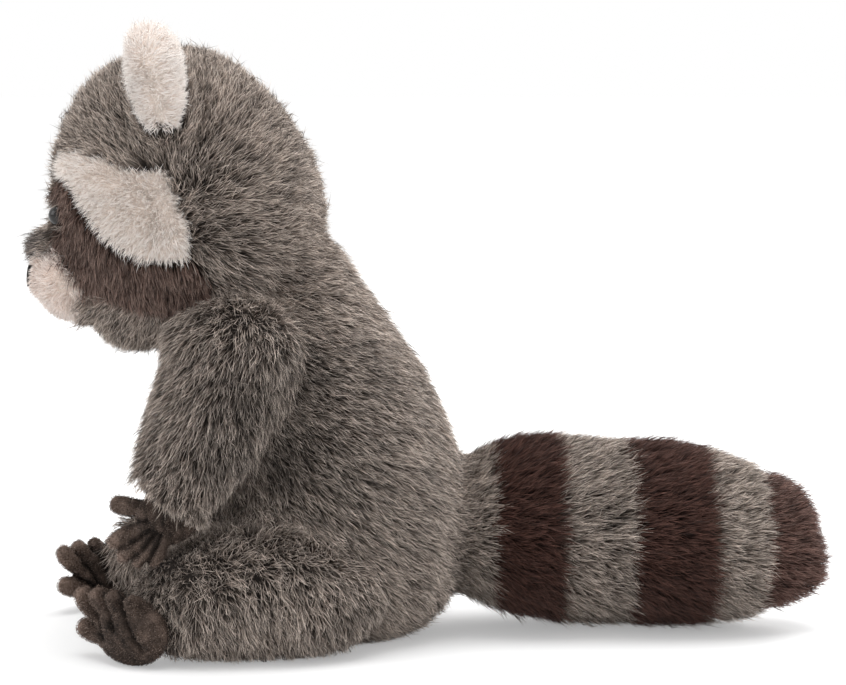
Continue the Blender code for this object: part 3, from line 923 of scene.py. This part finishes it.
BACKING = ClothFinish(
    "pile_backing", "grey_pile", (0.70, 0.70, 0.70), (1.10, 1.10, 1.10),
    scale=1400.0, coarse=160.0, bump=0.4, attribute="backing",
)
# Its colour is scaled by the paw's painted attribute: wear and painted rim light at the digits' ends,
# painted shade in the sewn lines.
SUEDE = ClothFinish(
    "brown_suede", "brown_suede", (0.036, 0.024, 0.018), (0.150, 0.108, 0.088),
    scale=1500.0, coarse=180.0, bump=0.6, attribute="wear_and_shade",
)
THREAD = ClothFinish(
    "black_thread", "black_thread", (0.010, 0.009, 0.009), (0.030, 0.027, 0.026),
    scale=2600.0, coarse=500.0, bump=0.5, roughness=0.55,
)


@cache
def bead_material() -> bpy.types.Material:
    """Makes the glossy black of the eye beads."""
    material, shader = new_material("eye_gloss")
    fleck = place_group(material, fleck_group(), Scale=500.0)
    rough = ranged(material.node_tree, fleck.outputs["Mask"], (0.0, 1.0), (0.05, 0.12))
    material.node_tree.links.new(rough, shader.inputs["Roughness"])
    shader.inputs["Base Color"].default_value = (0.008, 0.006, 0.005, 1.0)
    shader.inputs["Specular IOR Level"].default_value = 0.3
    shader.inputs["Coat Weight"].default_value = 0.2
    shader.inputs["Coat Roughness"].default_value = 0.03
    return material


# The animal


@dataclass(frozen=True)
class Hollow:
    """A place, seen from the side, where a value changes, most at its middle.

    As a hollow of the backing its depth is in metres, and below zero it makes the backing fuller.  As a
    painted shade of the pile its depth is a change of tone.  An outer one works on faces that look
    outwards.
    """

    middle: Pair
    radius: float
    depth: float
    outer: bool = False

    def at(self, points: np.ndarray, normals: np.ndarray) -> np.ndarray:
        """Gives the change at points.

        Args:
            points: Places, one row each.
            normals: The outward direction at each.

        Returns:
            One change for each.
        """
        off = points[:, [0, 2]] - np.array(self.middle)
        change = self.depth * np.exp(-(off**2).sum(axis=1) / self.radius**2)
        if not self.outer:
            return change
        return change * (normals[:, 1] * np.sign(points[:, 1])).clip(0.0, 1.0) ** 2


NAPE = Hollow((-0.024, 0.137), 0.030, 0.0038)
CHIN = Hollow((-0.126, 0.115), 0.014, -0.0054)
BROW = Hollow((-0.149, 0.168), 0.010, -0.0032)
TAIL_TOP = Hollow((0.074, 0.077), 0.019, 0.0022)
TAIL_TIP = Hollow((0.147, 0.061), 0.013, -0.0042)
# Painted shade on the torso: darker across its middle and in the crease behind the arm.
PAINTED_FLANK_SHADE = (
    Hollow((-0.044, 0.085), 0.026, -0.16),
    Hollow((-0.058, 0.108), 0.012, -0.20),
    Hollow((-0.064, 0.078), 0.013, -0.24),
)
# Painted shade along the middle of each arm.
PAINTED_ARM_SHADE = (Hollow((-0.076, 0.104), 0.013, -0.24), Hollow((-0.087, 0.082), 0.012, -0.22))
CUFFS = {
    Side.LEFT: Hollow((-0.106, 0.058), 0.010, 0.0060, outer=True),
    Side.RIGHT: Hollow((-0.096, 0.065), 0.010, 0.0060, outer=True),
}


@dataclass(frozen=True)
class Region:
    """One area of the backing: the CAD node that it stands for, its pile and its comb.

    A marking lies on the head.  The seams are the nodes that it is sewn to.  The lead is how far its tips
    lie ahead of its roots.  The trims are nodes near which its pile is short, and within what distance.
    The hollows change its inset, and its pile ends at the low end's height; below that height the backing
    is painted the head's dark grey as a painted shadow.  Its tone and painted shades are painted shade that
    makes it lighter or darker.
    """

    node: str
    finish: PileFinish
    comb: Comb
    inset: float
    backing: Triple
    seed: int
    marking: bool = False
    seams: tuple[str, ...] = ()
    lead: Triple = (0.0, 0.0, 0.0)
    trims: tuple[tuple[str, float], ...] = ()
    hollows: tuple[Hollow, ...] = ()
    painted_shades: tuple[Hollow, ...] = ()
    low_end: float = -1.0
    tone: float = 0.0


@dataclass
class Shell:
    """The sewn backing of the whole animal, which carries every pile."""

    regions: tuple[Region, ...]
    bare: dict[str, float]
    voxel: float = 0.0022
    rounds: int = 4
    seam_room: float = 0.004
    least_room: float = 0.18
    raggedness: float = 0.0008
    seam_start: float = 0.001
    easing: int = 4

    def build(self) -> None:
        """Builds the backing, and grows each region's pile on it."""
        forms = [region.node for region in self.regions if not region.marking]
        shell = solid_copy("pile_backing", *forms)
        apply_modifier(shell, "REMESH", mode="VOXEL", voxel_size=self.voxel)
        apply_modifier(shell, "SMOOTH", factor=0.5, iterations=self.rounds)
        places, normals = vertex_arrays(shell)
        labels = self._labels(places, normals)
        self._draw_in(shell, places, normals, labels)
        # Painted shadow: below a region's low end the backing takes the head's dark grey, under the ear's
        # base.
        low_ends = np.array([region.low_end for region in self.regions])[labels]
        self._paint(shell, np.where(places[:, 2] < low_ends, 0, labels))
        bpy.ops.object.shade_smooth()
        hand_over(shell, BACKING.material(), "grey_pile", *(region.node for region in self.regions))
        ground = Ground.of(shell)
        for index, region in enumerate(self.regions):
            self._cover(ground, labels, index, region)

    def _labels(self, points: np.ndarray, normals: np.ndarray) -> np.ndarray:
        """Finds each point's region: its nearest form, or the marking over it.

        Args:
            points: Places on the forms' surface, one row each.
            normals: The outward direction at each.

        Returns:
            The number of each point's region.
        """
        labels = np.zeros(len(points), dtype=np.int64)
        least = np.full(len(points), 1.0)
        for index, region in enumerate(self.regions):
            if region.marking:
                continue
            away = distance(points + np.array(region.lead), region.node)
            nearer = away < least
            labels[nearer] = index
            least[nearer] = away[nearer]
        head = np.flatnonzero(labels == 0)
        for index, region in enumerate(self.regions):
            if region.marking:
                under = below(points[head], normals[head], region.node)
                labels[head[under]] = index
                head = head[~under]
        return labels

    def _draw_in(
        self, shell: bpy.types.Object, places: np.ndarray, normals: np.ndarray, labels: np.ndarray
    ) -> None:
        """Moves the backing in by the depth of each region's pile, but not at its seams.

        Args:
            shell: The backing.
            places: Its vertices.
            normals: Their normals.
            labels: Their regions.
        """
        depths = np.array([region.inset for region in self.regions])[labels]
        for index, region in enumerate(self.regions):
            mine = np.flatnonzero(labels == index)
            for node in region.seams:
                clear = distance(places[mine], node) - self.seam_start
                depths[mine] *= np.clip(clear / self.seam_room, 0.0, 1.0)
            for hollow in region.hollows:
                depths[mine] += hollow.at(places[mine], normals[mine])
        ends = np.empty(len(shell.data.edges) * 2, dtype=np.int64)
        shell.data.edges.foreach_get("vertices", ends)
        one, two = ends.reshape(-1, 2).T
        neighbours = np.bincount(one, minlength=len(depths)) + np.bincount(two, minlength=len(depths))
        for _ in range(self.easing):
            total = np.bincount(one, depths[two], len(depths)) + np.bincount(two, depths[one], len(depths))
            depths = (depths + total / neighbours) / 2.0
        shell.data.vertices.foreach_set("co", (places - normals * depths[:, None]).ravel())
        apply_modifier(shell, "SMOOTH", factor=0.5, iterations=self.rounds // 2)

    def _paint(self, shell: bpy.types.Object, labels: np.ndarray) -> None:
        """Gives the backing each region's colour.

        Args:
            shell: The backing.
            labels: The regions of its vertices.
        """
        colours = np.array([(*region.backing, 1.0) for region in self.regions])[labels]
        layer = shell.data.color_attributes.new("backing", "FLOAT_COLOR", "POINT")
        layer.data.foreach_set("color", colours.ravel())

    def _cover(self, ground: Ground, labels: np.ndarray, index: int, region: Region) -> None:
        """Grows one region's pile.

        Args:
            ground: The backing.
            labels: The regions of its vertices.
            index: The region's number.
            region: The region.
        """
        rng = np.random.default_rng(region.seed)
        mine = labels[ground.index] == index
        density = region.finish.density * STRAND_SHARE
        roots, normals, picked = ground.scatter(density, rng, mine.any(axis=1))
        over = roots + normals * region.inset
        mixed = np.flatnonzero(~mine.all(axis=1)[picked])
        kept = roots[:, 2] > region.low_end
        ragged = rng.normal(0.0, self.raggedness, (len(mixed), 3))
        kept[mixed] = self._labels(over[mixed] + ragged, normals[mixed]) == index
        for node in self.bare:
            kept &= ~inside(over, node)
        roots, normals, over = roots[kept], normals[kept], over[kept]
        room = np.ones(len(roots))
        for node, reach in (*self.bare.items(), *region.trims):
            room = np.minimum(room, distance(over, node) / reach)
        # Painted shade: the region's tone and painted shades darken its pile where it lies in shade.
        tone = np.full(len(roots), region.tone)
        for shade in region.painted_shades:
            tone += shade.at(roots, normals)
        bed = Bed(roots, normals, room.clip(self.least_room, 1.0), tone)
        Pile(region.finish, region.comb, region.seed).grow(f"{region.node}_pile", bed, region.node)


def raccoon_regions() -> tuple[Region, ...]:
    """Lists the regions of the coat; the head comes first, because the markings lie on it.

    Returns:
        The regions.
    """
    grey, brown, cream = (0.040, 0.033, 0.029), (0.012, 0.006, 0.004), (0.86, 0.77, 0.70)
    whorl = Comb((-0.099, 0.169), (-0.097, 0.160), 1.0, (0.05, 0.0, -0.05), flank=0.10)
    back = Comb((-0.070, 0.150), (-0.070, 0.150), 0.55, (0.55, 0.0, -0.12), flank=0.16)
    snout = Comb((-0.142, 0.144), (-0.142, 0.144), 0.8, (0.0, 0.0, 0.0))
    ridge = Comb((-0.120, 0.170), (-0.120, 0.170), 0.0, (-0.9, 0.0, -0.2))
    regions = [
        Region("head", GREY, whorl, 0.0082, grey, 21, hollows=(NAPE, CHIN)),
        # Painted shade on the torso's flank and in the crease behind the arm.
        Region("torso", GREY, back, 0.0040, grey, 11, hollows=(NAPE,), painted_shades=PAINTED_FLANK_SHADE),
        Region("muzzle", MUZZLE_CREAM, snout, 0.0040, cream, 51, seams=("nose",)),
        Region("snout_bridge", TUFT, ridge, 0.0032, grey, 52),
    ]
    for number, side in enumerate(Side):
        patch = Comb((-0.130, 0.180), (-0.112, 0.166), 0.7, (0.0, 0.0, -0.25), swirl=0.25)
        mask = Comb((-0.120, 0.175), (-0.120, 0.175), 0.25, (0.12, 0.0, -0.8))
        ear = Comb((-0.1152, 0.2280), (-0.1060, 0.2060), 0.95, (0.0, 0.0, 0.0), 0.008, 0.30)
        arm = Comb((-0.0805, 0.1214), (-0.107, 0.0615), 0.22, (-0.24, 0.0, -0.68), 0.024, 0.28, flank=0.08)
        leg = Comb((-0.105, 0.030), (-0.030, 0.040), 0.50, (0.16, 0.0, -0.34), 0.020, 0.26, flank=0.02)
        hand, foot = side.node("hand"), side.node("foot")
        regions += [
            Region(side.node("cheek_patch"), CREAM, patch, 0.0044, cream, 31 + number, True),
            Region(side.node("mask"), MASK, mask, 0.0056, brown, 41 + number, True, hollows=(BROW,)),
            Region(
                side.node("ear"), EAR_CREAM, ear, 0.0032, cream, 61 + number,
                trims=(("head", 0.003),), low_end=0.2030,
            ),
            # Painted shade: the arm's pile is a little darker all over and darkest along its middle.
            Region(
                side.node("arm"), GREY, arm, 0.0056, grey, 81 + number,
                seams=(hand,), hollows=(CUFFS[side],), painted_shades=PAINTED_ARM_SHADE, tone=-0.04,
            ),
            Region(side.node("leg"), GREY, leg, 0.0046, grey, 91 + number, seams=(foot,)),
        ]
    along = Comb((0.0, 0.040), (0.16, 0.040), 0.25, (0.85, 0.0, 0.0), 0.02, flank=0.08)
    for number, finish in enumerate((GREY, BROWN, GREY, BROWN, GREY, LIT_TIP_BROWN)):
        backing = brown if number % 2 else grey
        inset = 0.0062 if number < 5 else 0.0092
        node, lead = f"tail_band_{number + 1}", (0.0036, 0.0, 0.0)
        hollows = (TAIL_TOP, TAIL_TIP)
        regions.append(Region(node, finish, along, inset, backing, 71 + number, lead=lead, hollows=hollows))
    return tuple(regions)


@dataclass(frozen=True)
class PawForm:
    """A paw's middle, the way through its thickness and the sewn lines between its digits."""

    node: str
    middle: Vector
    through: Vector
    reach: float
    lines: tuple[tuple[Vector, Vector], ...]


@dataclass(frozen=True)
class HandPlan:
    """How the lines between the fingers fan out from the palm: each one's slope and where it starts."""

    palm_back: float = 0.0229
    palm_drop: float = 0.0083
    fan: tuple[Pair, ...] = ((34.5, 0.0085), (49.5, 0.0075), (64.5, 0.0070), (9.0, 0.0085))
    line_end: float = 0.026
    reach: float = 0.025

    def form(self, side: Side) -> PawForm:
        """Finds the form of one hand.

        Args:
            side: The animal's side.

        Returns:
            The hand's form.
        """
        node = side.node("hand")
        low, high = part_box(node)
        middle = Vector((low.x + self.palm_back, (low.y + high.y) / 2.0, high.z - self.palm_drop))
        lines = []
        for degrees, inner in self.fan:
            way = Vector((-math.cos(math.radians(degrees)), 0.0, -math.sin(math.radians(degrees))))
            lines.append((middle + way * inner, middle + way * self.line_end))
        return PawForm(node, middle, Vector((0.0, 1.0, 0.0)), self.reach, tuple(lines))


@dataclass(frozen=True)
class FootPlan:
    """How the lines between the toes lean inward over the sole.

    Each has its place across the sole and where it starts.  The great toe's line has its two ends, across
    and up.
    """

    turn: float = math.radians(48.0)
    sole_back: float = 0.02176
    sole_in: float = 0.0131
    sole_height: float = 0.0128
    lean: Pair = (0.848, 0.530)
    toes: tuple[Pair, ...] = ((-0.0103, -0.0035), (-0.0017, 0.0015), (0.0069, -0.0065))
    great_toe: tuple[Pair, Pair] = ((-0.010, -0.0035), (-0.024, 0.0052))
    line_end: float = 0.019
    reach: float = 0.024

    def form(self, side: Side) -> PawForm:
        """Finds the form of one foot.

        Args:
            side: The animal's side.

        Returns:
            The foot's form.
        """
        node = side.node("foot")
        low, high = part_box(node)
        sign, edge = (-1.0, low.y) if side is Side.LEFT else (1.0, high.y)
        outward = Vector((math.sin(self.turn), sign * math.cos(self.turn), 0.0))
        through = Vector((-math.cos(self.turn), sign * math.sin(self.turn), 0.0))
        middle = Vector((low.x + self.sole_back, edge - sign * self.sole_in, self.sole_height))
        up, inward = self.lean
        lean = Vector((0.0, 0.0, up)) - outward * inward
        lines = []
        for across, inner in self.toes:
            base = middle + outward * across
            lines.append((base + lean * inner, base + lean * self.line_end))
        ends = [middle + outward * across + Vector((0.0, 0.0, rise)) for across, rise in self.great_toe]
        return PawForm(node, middle, through, self.reach, (*lines, tuple(ends)))


@dataclass
class Paw:
    """A suede hand or foot with its five digits, parted by sewn lines.

    Its paleness is the least, what the digits' ends add, how fast that comes in, and what a line takes off;
    the pale ends are partly wear and partly painted rim light, and the darker lines are painted shade in
    the grooves.
    """

    form: PawForm
    seed: int
    voxel: float = 0.0007
    groove_depth: float = 0.0026
    groove_width: float = 0.0010
    paleness: tuple[float, float, float, float] = (0.24, 0.66, 2.6, 0.45)
    mottle: tuple[Pair, Pair] = ((0.16, 0.0040), (0.12, 0.0095))
    wear_and_shade: Pair = (0.16, 1.80)
    nap_room: Pair = (0.55, 0.6)
    nap_shade: float = 1.05

    def build(self) -> None:
        """Builds the paw and its short nap."""
        node = self.form.node
        paw = solid_copy(f"{node}_suede", node)
        apply_modifier(paw, "REMESH", mode="VOXEL", voxel_size=self.voxel)
        apply_modifier(paw, "SMOOTH", factor=0.5, iterations=3)
        self._sew(paw)
        places, _ = vertex_arrays(paw)
        # Wear and painted light: paler at the digits' ends, partly wear and partly painted rim light, and
        # darker in the sewn lines as painted shade.
        wear_and_shade = (self.wear_and_shade[0] + self.wear_and_shade[1] * self._shade(places)).clip(0.18, 2.6)
        layer = paw.data.color_attributes.new("wear_and_shade", "FLOAT_COLOR", "POINT")
        layer.data.foreach_set("color", np.stack([wear_and_shade, wear_and_shade, wear_and_shade, np.ones(len(wear_and_shade))], axis=1).ravel())
        bpy.ops.object.shade_smooth()
        hand_over(paw, SUEDE.material(), "brown_suede", node)
        ground = Ground.of(paw)
        rng = np.random.default_rng(self.seed)
        everywhere = np.ones(len(ground.index), dtype=bool)
        roots, normals, _ = ground.scatter(NAP.density * STRAND_SHARE, rng, everywhere)
        shade = self._shade(roots)
        room = (self.nap_room[0] + self.nap_room[1] * shade).clip(0.4, 1.1)
        # The nap's tone follows the same painted rim light and painted shade, with wear at the digits'
        # ends.
        bed = Bed(roots, normals, room, self.nap_shade * (shade - 0.50))
        comb = Comb((-0.10, 0.10), (-0.10, 0.10), 0.0, (-0.5, 0.0, -0.3))
        Pile(NAP, comb, self.seed).grow(f"{node}_nap", bed, node)

    def _groove(self, points: np.ndarray) -> np.ndarray:
        """Tells how deep in a sewn line points lie.

        Args:
            points: Places, one row each.

        Returns:
            A value from 0, clear of the lines, to 1, on one.
        """
        through = np.array(self.form.through)
        deep = np.zeros(len(points))
        for start, end in self.form.lines:
            line = np.array(end - start)
            off = points - np.array(start)
            off -= (off @ through)[:, None] * through
            share = np.clip(off @ line / (line @ line), 0.0, 1.0)
            away = np.linalg.norm(off - share[:, None] * line, axis=1)
            deep = np.maximum(deep, np.exp(-((away / self.groove_width) ** 2)))
        return deep

    def _sew(self, paw: bpy.types.Object) -> None:
        """Draws both faces of the paw in along the lines, so that the digits swell between them.

        Args:
            paw: The paw.
        """
        places, normals = vertex_arrays(paw)
        facing = np.abs(normals @ np.array(self.form.through)) ** 0.5
        push = self.groove_depth * self._groove(places) * facing
        paw.data.vertices.foreach_set("co", (places - normals * push[:, None]).ravel())
        apply_modifier(paw, "SMOOTH", factor=0.4, iterations=1)

    def _shade(self, points: np.ndarray) -> np.ndarray:
        """Tells how pale the suede is painted: most at the digits' ends, partly wear and partly painted rim
        light, and least in the sewn lines, as painted shade.

        Args:
            points: Places, one row each.

        Returns:
            A value from about 0 to 1.
        """
        off = points - np.array(self.form.middle)
        through = np.array(self.form.through)
        off -= (off @ through)[:, None] * through
        reach = (np.linalg.norm(off, axis=1) / self.form.reach).clip(0.0, 1.0)
        mottle = np.zeros(len(points))
        for number, (strength, size) in enumerate(self.mottle):
            mottle += strength * Waves(size, self.seed + number).at(points)
        least, ends, rate, line = self.paleness
        return (least + ends * reach**rate + mottle - line * self._groove(points)).clip(0.0, 1.0)


@dataclass
class Nose:
    """The satin-stitched nose at the muzzle's front."""

    threads: int = 13
    thread_radius: float = 0.00042
    steps: int = 9
    voxel: float = 0.0005
    sunk: float = 0.4

    def build(self) -> None:
        """Builds the pad and lays the threads over it."""
        pad = solid_copy("nose_pad", "nose")
        apply_modifier(pad, "REMESH", mode="VOXEL", voxel_size=self.voxel)
        apply_modifier(pad, "SMOOTH", factor=0.5, iterations=4)
        bpy.ops.object.shade_smooth()
        hand_over(pad, THREAD.material(), "black_thread", "nose")
        tree = tree_of("nose")
        low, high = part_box("nose")
        curve = bpy.data.curves.new("nose_threads", "CURVE")
        curve.dimensions = "3D"
        curve.bevel_depth = self.thread_radius
        curve.bevel_resolution = 2
        curve.use_fill_caps = True
        for number in range(self.threads):
            across = low.y + (high.y - low.y) * (number + 0.5) / self.threads
            points = []
            for step in range(self.steps):
                height = high.z - (high.z - low.z) * step / (self.steps - 1)
                place, normal, _, _ = tree.find_nearest(Vector((low.x - 0.001, across, height)))
                points.append(place + normal * self.thread_radius * self.sunk)
            spline = curve.splines.new("POLY")
            spline.points.add(len(points) - 1)
            for point, place in zip(spline.points, points):
                point.co = (*place, 1.0)
        threads = bpy.data.objects.new("nose_threads", curve)
        bpy.context.scene.collection.objects.link(threads)
        select_only(threads)
        bpy.ops.object.convert(target="MESH")
        bpy.ops.object.shade_smooth()
        hand_over(threads, THREAD.material(), "black_thread", "nose")


@dataclass
class Eye:
    """One glossy bead with a flat back, set in the mask."""

    side: Side
    sunk: float = 0.0010
    share: float = 0.92
    turned_out: float = 0.4
    flat_share: float = 0.55
    bevel_share: float = 0.08

    def build(self) -> None:
        """Builds the bead."""
        node = self.side.node("eye")
        low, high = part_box(node)
        sign = -1.0 if self.side is Side.RIGHT else 1.0
        back = Vector((1.0, sign * self.turned_out, 0.0)).normalized()
        middle = (low + high) / 2.0 + back * self.sunk
        radius = (high.z - low.z) / 2.0 * self.share
        bpy.ops.object.select_all(action="DESELECT")
        bpy.ops.mesh.primitive_uv_sphere_add(segments=32, ring_count=16, radius=radius, location=middle)
        bead = bpy.context.active_object
        bead.name = f"{node}_bead"
        bpy.ops.object.transform_apply(location=True, rotation=False, scale=False)
        bpy.ops.object.mode_set(mode="EDIT")
        bpy.ops.mesh.select_all(action="SELECT")
        flat = middle + back * radius * self.flat_share
        bpy.ops.mesh.bisect(plane_co=flat, plane_no=back, use_fill=True, clear_outer=True)
        bpy.ops.object.mode_set(mode="OBJECT")
        apply_modifier(bead, "BEVEL", width=radius * self.bevel_share, segments=2, limit_method="ANGLE")
        bpy.ops.object.shade_smooth_by_angle(angle=math.radians(40.0))
        hand_over(bead, bead_material(), "eye_gloss", node)


# The studio


@dataclass
class Studio:
    """The camera, the soft lamps and the pale floor.

    The floor glows for the camera alone, near the object less than far off, so that it keeps the shadow.
    """

    target: Triple = (-0.0036, 0.0, 0.1157)
    distance: float = 1.0
    elevation: float = math.radians(6.0)
    lead: float = math.radians(5.0)
    lens: float = 106.4
    sensor: float = 36.0
    lamps: tuple[tuple[str, Triple, float, float], ...] = (
        ("top_lamp", (0.10, 0.05, 1.6), 1.4, 23.0),
        ("back_lamp", (1.1, 0.9, 0.9), 0.9, 17.0),
        ("front_lamp", (-1.4, -0.3, 0.8), 0.9, 5.0),
    )
    ambient: float = 0.66
    floor_size: float = 60.0
    floor_grey: float = 0.70
    glow: Pair = (0.34, 0.56)
    glow_reach: float = 2.4

    def build(self) -> None:
        """Sets up the whole studio."""
        self._camera()
        for lamp in self.lamps:
            self._lamp(*lamp)
        self._world()
        self._floor()
        bpy.context.scene.view_settings.view_transform = "Standard"

    def _camera(self) -> None:
        """Places the camera where the photograph was taken from."""
        level = math.cos(self.elevation)
        look = Vector((math.sin(self.lead) * level, math.cos(self.lead) * level, -math.sin(self.elevation)))
        camera = bpy.data.objects.new("camera", bpy.data.cameras.new("camera"))
        camera.data.lens = self.lens
        camera.data.sensor_width = self.sensor
        camera.location = Vector(self.target) - look * self.distance
        camera.rotation_euler = look.to_track_quat("-Z", "Y").to_euler()
        bpy.context.scene.collection.objects.link(camera)
        bpy.context.scene.camera = camera

    def _lamp(self, name: str, place: Triple, size: float, power: float) -> None:
        """Adds a square soft lamp that points at the object.

        Args:
            name: The lamp's name.
            place: Where it hangs.
            size: Its side, in metres.
            power: Its power, in watts.
        """
        lamp = bpy.data.lights.new(name, "AREA")
        lamp.size = size
        lamp.energy = power
        holder = bpy.data.objects.new(name, lamp)
        holder.location = place
        aim = Vector(self.target) - Vector(place)
        holder.rotation_euler = aim.to_track_quat("-Z", "Y").to_euler()
        bpy.context.scene.collection.objects.link(holder)

    def _world(self) -> None:
        """Makes a white surround that lights the object softly."""
        world = bpy.data.worlds.new("surround")
        world.use_nodes = True
        bpy.context.scene.world = world
        tree = world.node_tree
        tree.nodes.clear()
        background = tree.nodes.new("ShaderNodeBackground")
        background.inputs["Color"].default_value = (1.0, 1.0, 1.0, 1.0)
        level = ranged(tree, sight(tree), (0.0, 1.0), (self.ambient, 1.0))
        tree.links.new(level, background.inputs["Strength"])
        output = tree.nodes.new("ShaderNodeOutputWorld")
        tree.links.new(background.outputs[0], output.inputs["Surface"])

    def _floor(self) -> None:
        """Lays a large white floor that keeps the object's shadow."""
        bpy.ops.object.select_all(action="DESELECT")
        bpy.ops.mesh.primitive_plane_add(size=self.floor_size)
        floor = bpy.context.active_object
        floor.name = "studio_floor"
        material, shader = new_material("studio_floor")
        shader.inputs["Base Color"].default_value = (self.floor_grey, self.floor_grey, self.floor_grey, 1.0)
        shader.inputs["Roughness"].default_value = 0.9
        shader.inputs["Specular IOR Level"].default_value = 0.0
        shader.inputs["Emission Color"].default_value = (1.0, 1.0, 1.0, 1.0)
        tree = material.node_tree
        place = tree.nodes.new("ShaderNodeTexCoord")
        radius = tree.nodes.new("ShaderNodeVectorMath")
        radius.operation = "LENGTH"
        tree.links.new(place.outputs["Object"], radius.inputs[0])
        level = ranged(tree, radius.outputs["Value"], (0.0, self.glow_reach), self.glow, smooth=True)
        tree.links.new(maths(tree, "MULTIPLY", sight(tree), level), shader.inputs["Emission Strength"])
        floor.data.materials.append(material)


def main() -> None:
    """Builds the raccoon and the studio, and reports each part."""
    logging.basicConfig(level=logging.INFO, format="%(message)s")
    reaches = {"hand": 0.0115, "foot": 0.0060, "eye": 0.0015}
    bare = {side.node(stem): reach for stem, reach in reaches.items() for side in Side}
    bare["nose"] = 0.0030
    parts: list[object] = [Studio(), Shell(raccoon_regions(), bare), Nose()]
    for number, side in enumerate(Side):
        hand, foot = HandPlan().form(side), FootPlan().form(side)
        parts += [Eye(side), Paw(hand, 101 + number), Paw(foot, 111 + number)]
    for part in parts:
        part.build()
        LOG.info("built %s", type(part).__name__)


if __name__ == "__main__":
    main()
